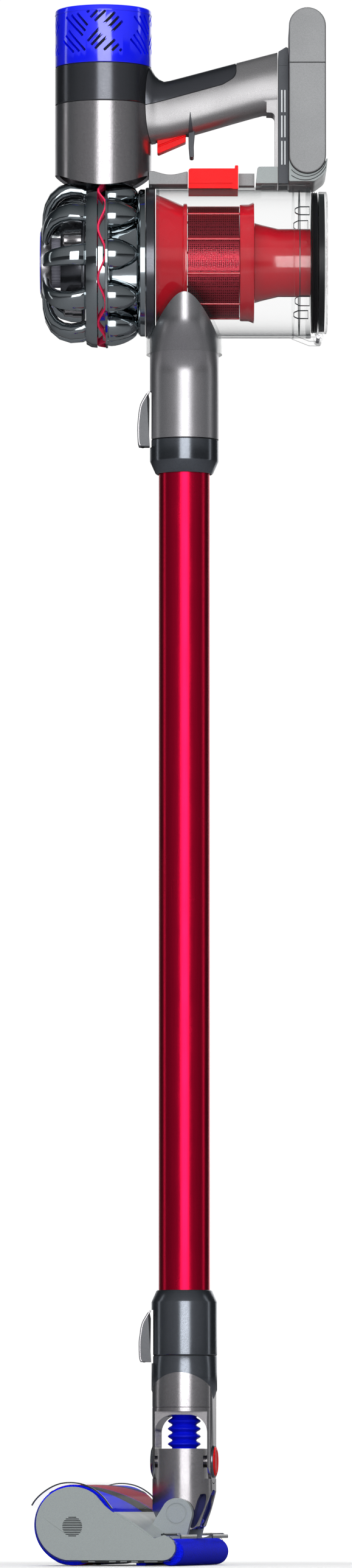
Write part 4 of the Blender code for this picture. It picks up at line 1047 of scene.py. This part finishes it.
def head():
    slope = [(-5.2, 21.6), (-11.6, 26.6), (-18.6, 31.6), (-26.4, 36.6), (-33.0, 40.2), (-38.6, 41.7)]
    deck = smooth(slope, 4)
    shell = slab("head_shell_deck", [(-52, 5.2), (-5.2, 5.2)] + deck + [(-44, 46), (-52, 52)], -118, 118)
    cut(shell, rod("roller_room", 32.9, -130, 130, 160, "y", ROLLER))
    ears = []
    for side in (-1, 1):
        low, high = span(side, 30, 39)
        ear = arc(0, PITCH_Z, 12, -24, 5.5, 31) + [(-22, 26.5), (-22, 14), (5.5, 14)]
        ears.append(slab("ear", ear, low, high))
    join(shell, ears)
    for side in (-1, 1):
        face = side * 39
        profile = [(7.0, face - 0.5), (8.2, face - 0.5), (8.2, face + 0.5), (7.0, face + 0.5)]
        groove = turned("arc_groove", profile, 64, "y", PITCH)
        cut(shell, groove)
    cut(shell, rod("rear_room", REAR_Z + 0.8, -118.5, 118.5, 96, "y", REAR))
    cut(shell, rod("swing_room", 17.3, -29.9, 29.9, 96, "y", PITCH))
    cut(shell, rod("suction_way", 9, -60, 0, 48, "x", (0, 0, 18)))
    cut(shell, block("mouth", (-55, -50, 0), (-25, 50, 13)))
    head_piece(shell, "shell", ["head_shell"], bevel=0.9, segments=3)
    line = smooth(COVER, 4)
    outline = line + offset(line, 1.1)[::-1]
    head_piece(slab("roller_cover", outline, -121.4, 121.4), "clear_cover", ["clear_cover"], bevel=0.3)
    rim = smooth(offset(COVER[1:14], 0.2), 4)
    for name, side in (("left", -1), ("right", 1)):
        edge = slab("cover_rim_" + name, rim + offset(rim, 1.0)[::-1], *span(side, 120.2, 121.6))
        head_piece(edge, "smoke")
    roller_and_strips()
    plain = cap_outline()
    for name, side in (("end_cap_left", -1), ("end_cap_right", 1)):
        low, high = span(side, 118.3, 122)
        cap = slab(name + "_plate", plain, low, high)
        vents = []
        for k in range(12):
            rise = (k - 5.5) * 1.28
            z = VENT[2] + rise
            half = math.sqrt(max(1.0, 7.7 ** 2 - rise ** 2))
            slit = bar(VENT[0] - half, VENT[0] + half, z - 0.3, z + 0.3, 0.28, 3)
            vents.append(slab("slit", slit, *span(side, 121.2, 123)))
        cut(cap, vents)
        head_piece(cap, "shell", [name], bevel=0.5, segments=3)
        head_piece(rod(name + "_vent_back", 8.2, *span(side, 120.4, 121.3), 48, "y", VENT), "black")
        skirt = plain[16:44]
        skirt = smooth(offset(skirt, -1.7), 2)
        band = slab(name + "_skirt", skirt + offset(skirt, 1.1)[::-1], *span(side, 117.4, 121.7))
        head_piece(band, "clear_cover", bevel=0.2)
        line = offset(skirt, 0.9)
        head_piece(slab(name + "_skirt_line", line + offset(line, 0.35)[::-1], *span(side, 121.0, 121.8)),
                   "smoke")
        head_piece(slab(name + "_sill", bar(-60, 2.5, 2.5, 4.2, 0.6, 3), *span(side, 116, 121.6)), "black")
        for k, x in enumerate((-52, -36, -27.5, -19, -9, -4)):
            light = slab("%s_sill_light_%d" % (name, k), bar(x - 2.6, x + 2.6, 3.0, 3.9, 0.3, 3),
                         *span(side, 121.4, 121.75))
            head_piece(light, "shell")
    profile = [(3.1, -114), (8.6, -114), (9.6, -113.4), (10.2, -112), (10.3, -110), (10.3, 110),
               (10.2, 112), (9.6, 113.4), (8.6, 114), (3.1, 114)]
    head_piece(turned("rear_roller_felt", profile, 96, "y", REAR), "felt", ["rear_roller"],
               body="back_roller")
    plate = rounded([(-5, 21.6), (-3.4, 22.3, 1), (8, 22.3, 2), (15.4, 20.4, 2), (16.6, 21.2),
                     (16.4, 23.2, 1), (9, 24.6, 2), (-5, 24.6)], 5)
    plate = slab("rear_plate_clear", plate, -117.6, 117.6)
    cut(plate, block("notch", (-10, -39.5, 10), (13.2, 39.5, 30)))
    head_piece(plate, "clear_cover", ["rear_plate"], bevel=0.25)
    for side in (-1, 1):
        low, high = span(side, 40.4, 117.4)
        rib = slab("rear_plate_rib_%d" % (side + 2), bar(2, 3.4, 22.6, 24.9, 0.4, 3), low, high)
        head_piece(rib, "smoke")
        rib = slab("rear_plate_edge_%d" % (side + 2), bar(15.2, 16.2, 20.6, 23.6, 0.3, 3), low, high)
        head_piece(rib, "smoke")
        end = slab("rear_plate_end_%d" % (side + 2), bar(0.5, 13.2, 22.9, 24.5, 0.5, 3),
                   *span(side, 113, 117.5))
        head_piece(end, "smoke")
    sole = slab("sole_board", rounded([(-40, 2.4), (-5.5, 2.4), (-5.5, 4.9), (-40, 4.9)]), -116, 116)
    cut(sole, rod("roller_room", 32.2, -130, 130, 128, "y", ROLLER))
    cut(sole, block("mouth", (-38, -50, 0), (-26, 50, 10)))
    head_piece(sole, "black", ["sole_plate"], bevel=0.3)
    outline = rounded([(-19, 0.4, 0.6), (-12, 0.4, 0.6), (-12, 2.3), (-19, 2.3)], 4)
    head_piece(slab("felt_strip_pad", outline, -114, 114), "felt", ["felt_strip"])


# ---------------------------------------------------------------- studio

def stage():
    mesh = bpy.data.meshes.new("studio_floor")
    half = 120
    mesh.from_pydata([(-half, -half, 0), (half, -half, 0), (half, half, 0), (-half, half, 0)], [],
                     [(0, 1, 2, 3)])
    floor = bpy.data.objects.new("studio_floor", mesh)
    floor.location.z = -0.0002
    bpy.context.collection.objects.link(floor)
    material, tree, shader = nodes_for("studio_floor_white")
    grain = add_noise(tree, 6, 3.0)
    tree.links.new(ramp(tree, grain, [(0.3, (0.9, 0.9, 0.9)), (0.7, (0.93, 0.93, 0.93))]),
                   shader.inputs["Base Color"])
    set_inputs(shader, {"Roughness": 0.6, "Specular IOR Level": 0.2, "Emission Color": (1, 1, 1, 1)})
    place = tree.nodes.new("ShaderNodeTexCoord")
    far = tree.nodes.new("ShaderNodeVectorMath")
    far.operation = "LENGTH"
    tree.links.new(place.outputs["Object"], far.inputs[0])
    glow = tree.nodes.new("ShaderNodeMapRange")
    set_inputs(glow, {"From Min": 0.35, "From Max": 1.6, "To Min": 0.1, "To Max": 1.0})
    tree.links.new(far.outputs["Value"], glow.inputs["Value"])
    tree.links.new(glow.outputs["Result"], shader.inputs["Emission Strength"])
    dim = tree.nodes.new("ShaderNodeBsdfDiffuse")
    dim.inputs["Color"].default_value = (0.3, 0.3, 0.31, 1)
    view = tree.nodes.new("ShaderNodeLightPath")
    both = tree.nodes.new("ShaderNodeMixShader")
    tree.links.new(view.outputs["Is Camera Ray"], both.inputs["Fac"])
    tree.links.new(dim.outputs["BSDF"], both.inputs[1])
    tree.links.new(shader.outputs["BSDF"], both.inputs[2])
    tree.links.new(both.outputs["Shader"], tree.nodes["Material Output"].inputs["Surface"])
    mesh.materials.append(material)

    world = bpy.data.worlds.new("studio")
    bpy.context.scene.world = world
    world.use_nodes = True
    tree = world.node_tree
    back = tree.nodes["Background"]
    out = tree.nodes["World Output"]
    seen = tree.nodes.new("ShaderNodeBackground")
    set_inputs(seen, {"Color": (1, 1, 1, 1), "Strength": 1.02})
    place = tree.nodes.new("ShaderNodeTexCoord")
    split = tree.nodes.new("ShaderNodeSeparateXYZ")
    tree.links.new(place.outputs["Generated"], split.inputs["Vector"])
    depth = tree.nodes.new("ShaderNodeMapRange")
    depth.inputs["From Min"].default_value = -1.0
    tree.links.new(split.outputs["Y"], depth.inputs["Value"])
    walls = [(0.0, (0.30, 0.30, 0.31)), (0.25, (0.22, 0.225, 0.23)), (0.5, (0.09, 0.10, 0.105)),
             (0.72, (0.02, 0.024, 0.028)), (0.9, (0.04, 0.045, 0.05)), (0.97, (0.6, 0.61, 0.62)),
             (1.0, (0.85, 0.85, 0.85))]
    room = ramp(tree, depth.outputs["Result"], walls)
    tree.links.new(room, back.inputs["Color"])
    back.inputs["Strength"].default_value = 1.0
    path = tree.nodes.new("ShaderNodeLightPath")
    mix = tree.nodes.new("ShaderNodeMixShader")
    tree.links.new(path.outputs["Is Camera Ray"], mix.inputs["Fac"])
    tree.links.new(back.outputs["Background"], mix.inputs[1])
    tree.links.new(seen.outputs["Background"], mix.inputs[2])
    tree.links.new(mix.outputs["Shader"], out.inputs["Surface"])

    for name, where, target, size, power in (
            ("front_box", (0.1, -2.6, 0.8), (0.05, 0, 0.74), (1.5, 1.9), 31),
            ("soft_fill", (-0.2, -3.2, 1.3), (0.0, 0, 0.6), (3.0, 3.0), 42),
            ("left_box", (-2.6, 0.5, 1.0), (0, 0, 0.7), (0.3, 2.4), 2.5),
            ("right_box", (2.6, 0.3, 1.0), (0, 0, 0.7), (0.3, 2.4), 2.5),
            ("back_rim", (0.9, 2.4, 1.2), (0, 0, 0.8), (1.2, 2.0), 6),
            ("top_box", (0.0, -0.3, 3.0), (0, 0, 0.6), (2.2, 2.2), 56)):
        data = bpy.data.lights.new(name, "AREA")
        data.shape = "RECTANGLE"
        data.size, data.size_y = size
        data.energy = power
        light = bpy.data.objects.new(name, data)
        light.location = where
        light.rotation_euler = (Vector(target) - Vector(where)).to_track_quat("-Z", "Y").to_euler()
        light.visible_camera = False
        light.visible_glossy = name not in ("soft_fill", "top_box")
        bpy.context.collection.objects.link(light)

    data = bpy.data.cameras.new("photo_camera")
    data.lens = 224.86
    data.sensor_width = 36
    data.clip_end = 500
    camera = bpy.data.objects.new("photo_camera", data)
    camera.location = (-0.0046, -7.5665, 0.041)
    camera.rotation_euler = (math.radians(90 + 4.25), 0, 0)
    bpy.context.collection.objects.link(camera)
    scene = bpy.context.scene
    scene.camera = camera
    scene.view_settings.view_transform = "Standard"


motor_column()
cyclone_shell()
cyclone_ducts()
shroud()
dust_bin()
handle()
rear_end()
inlet_and_wand()
neck()
head()
carry("steel", "pitch_pin", "rear_axle", "motor_body")
carry("black", "roller_core", "motor_rotor")
stage()
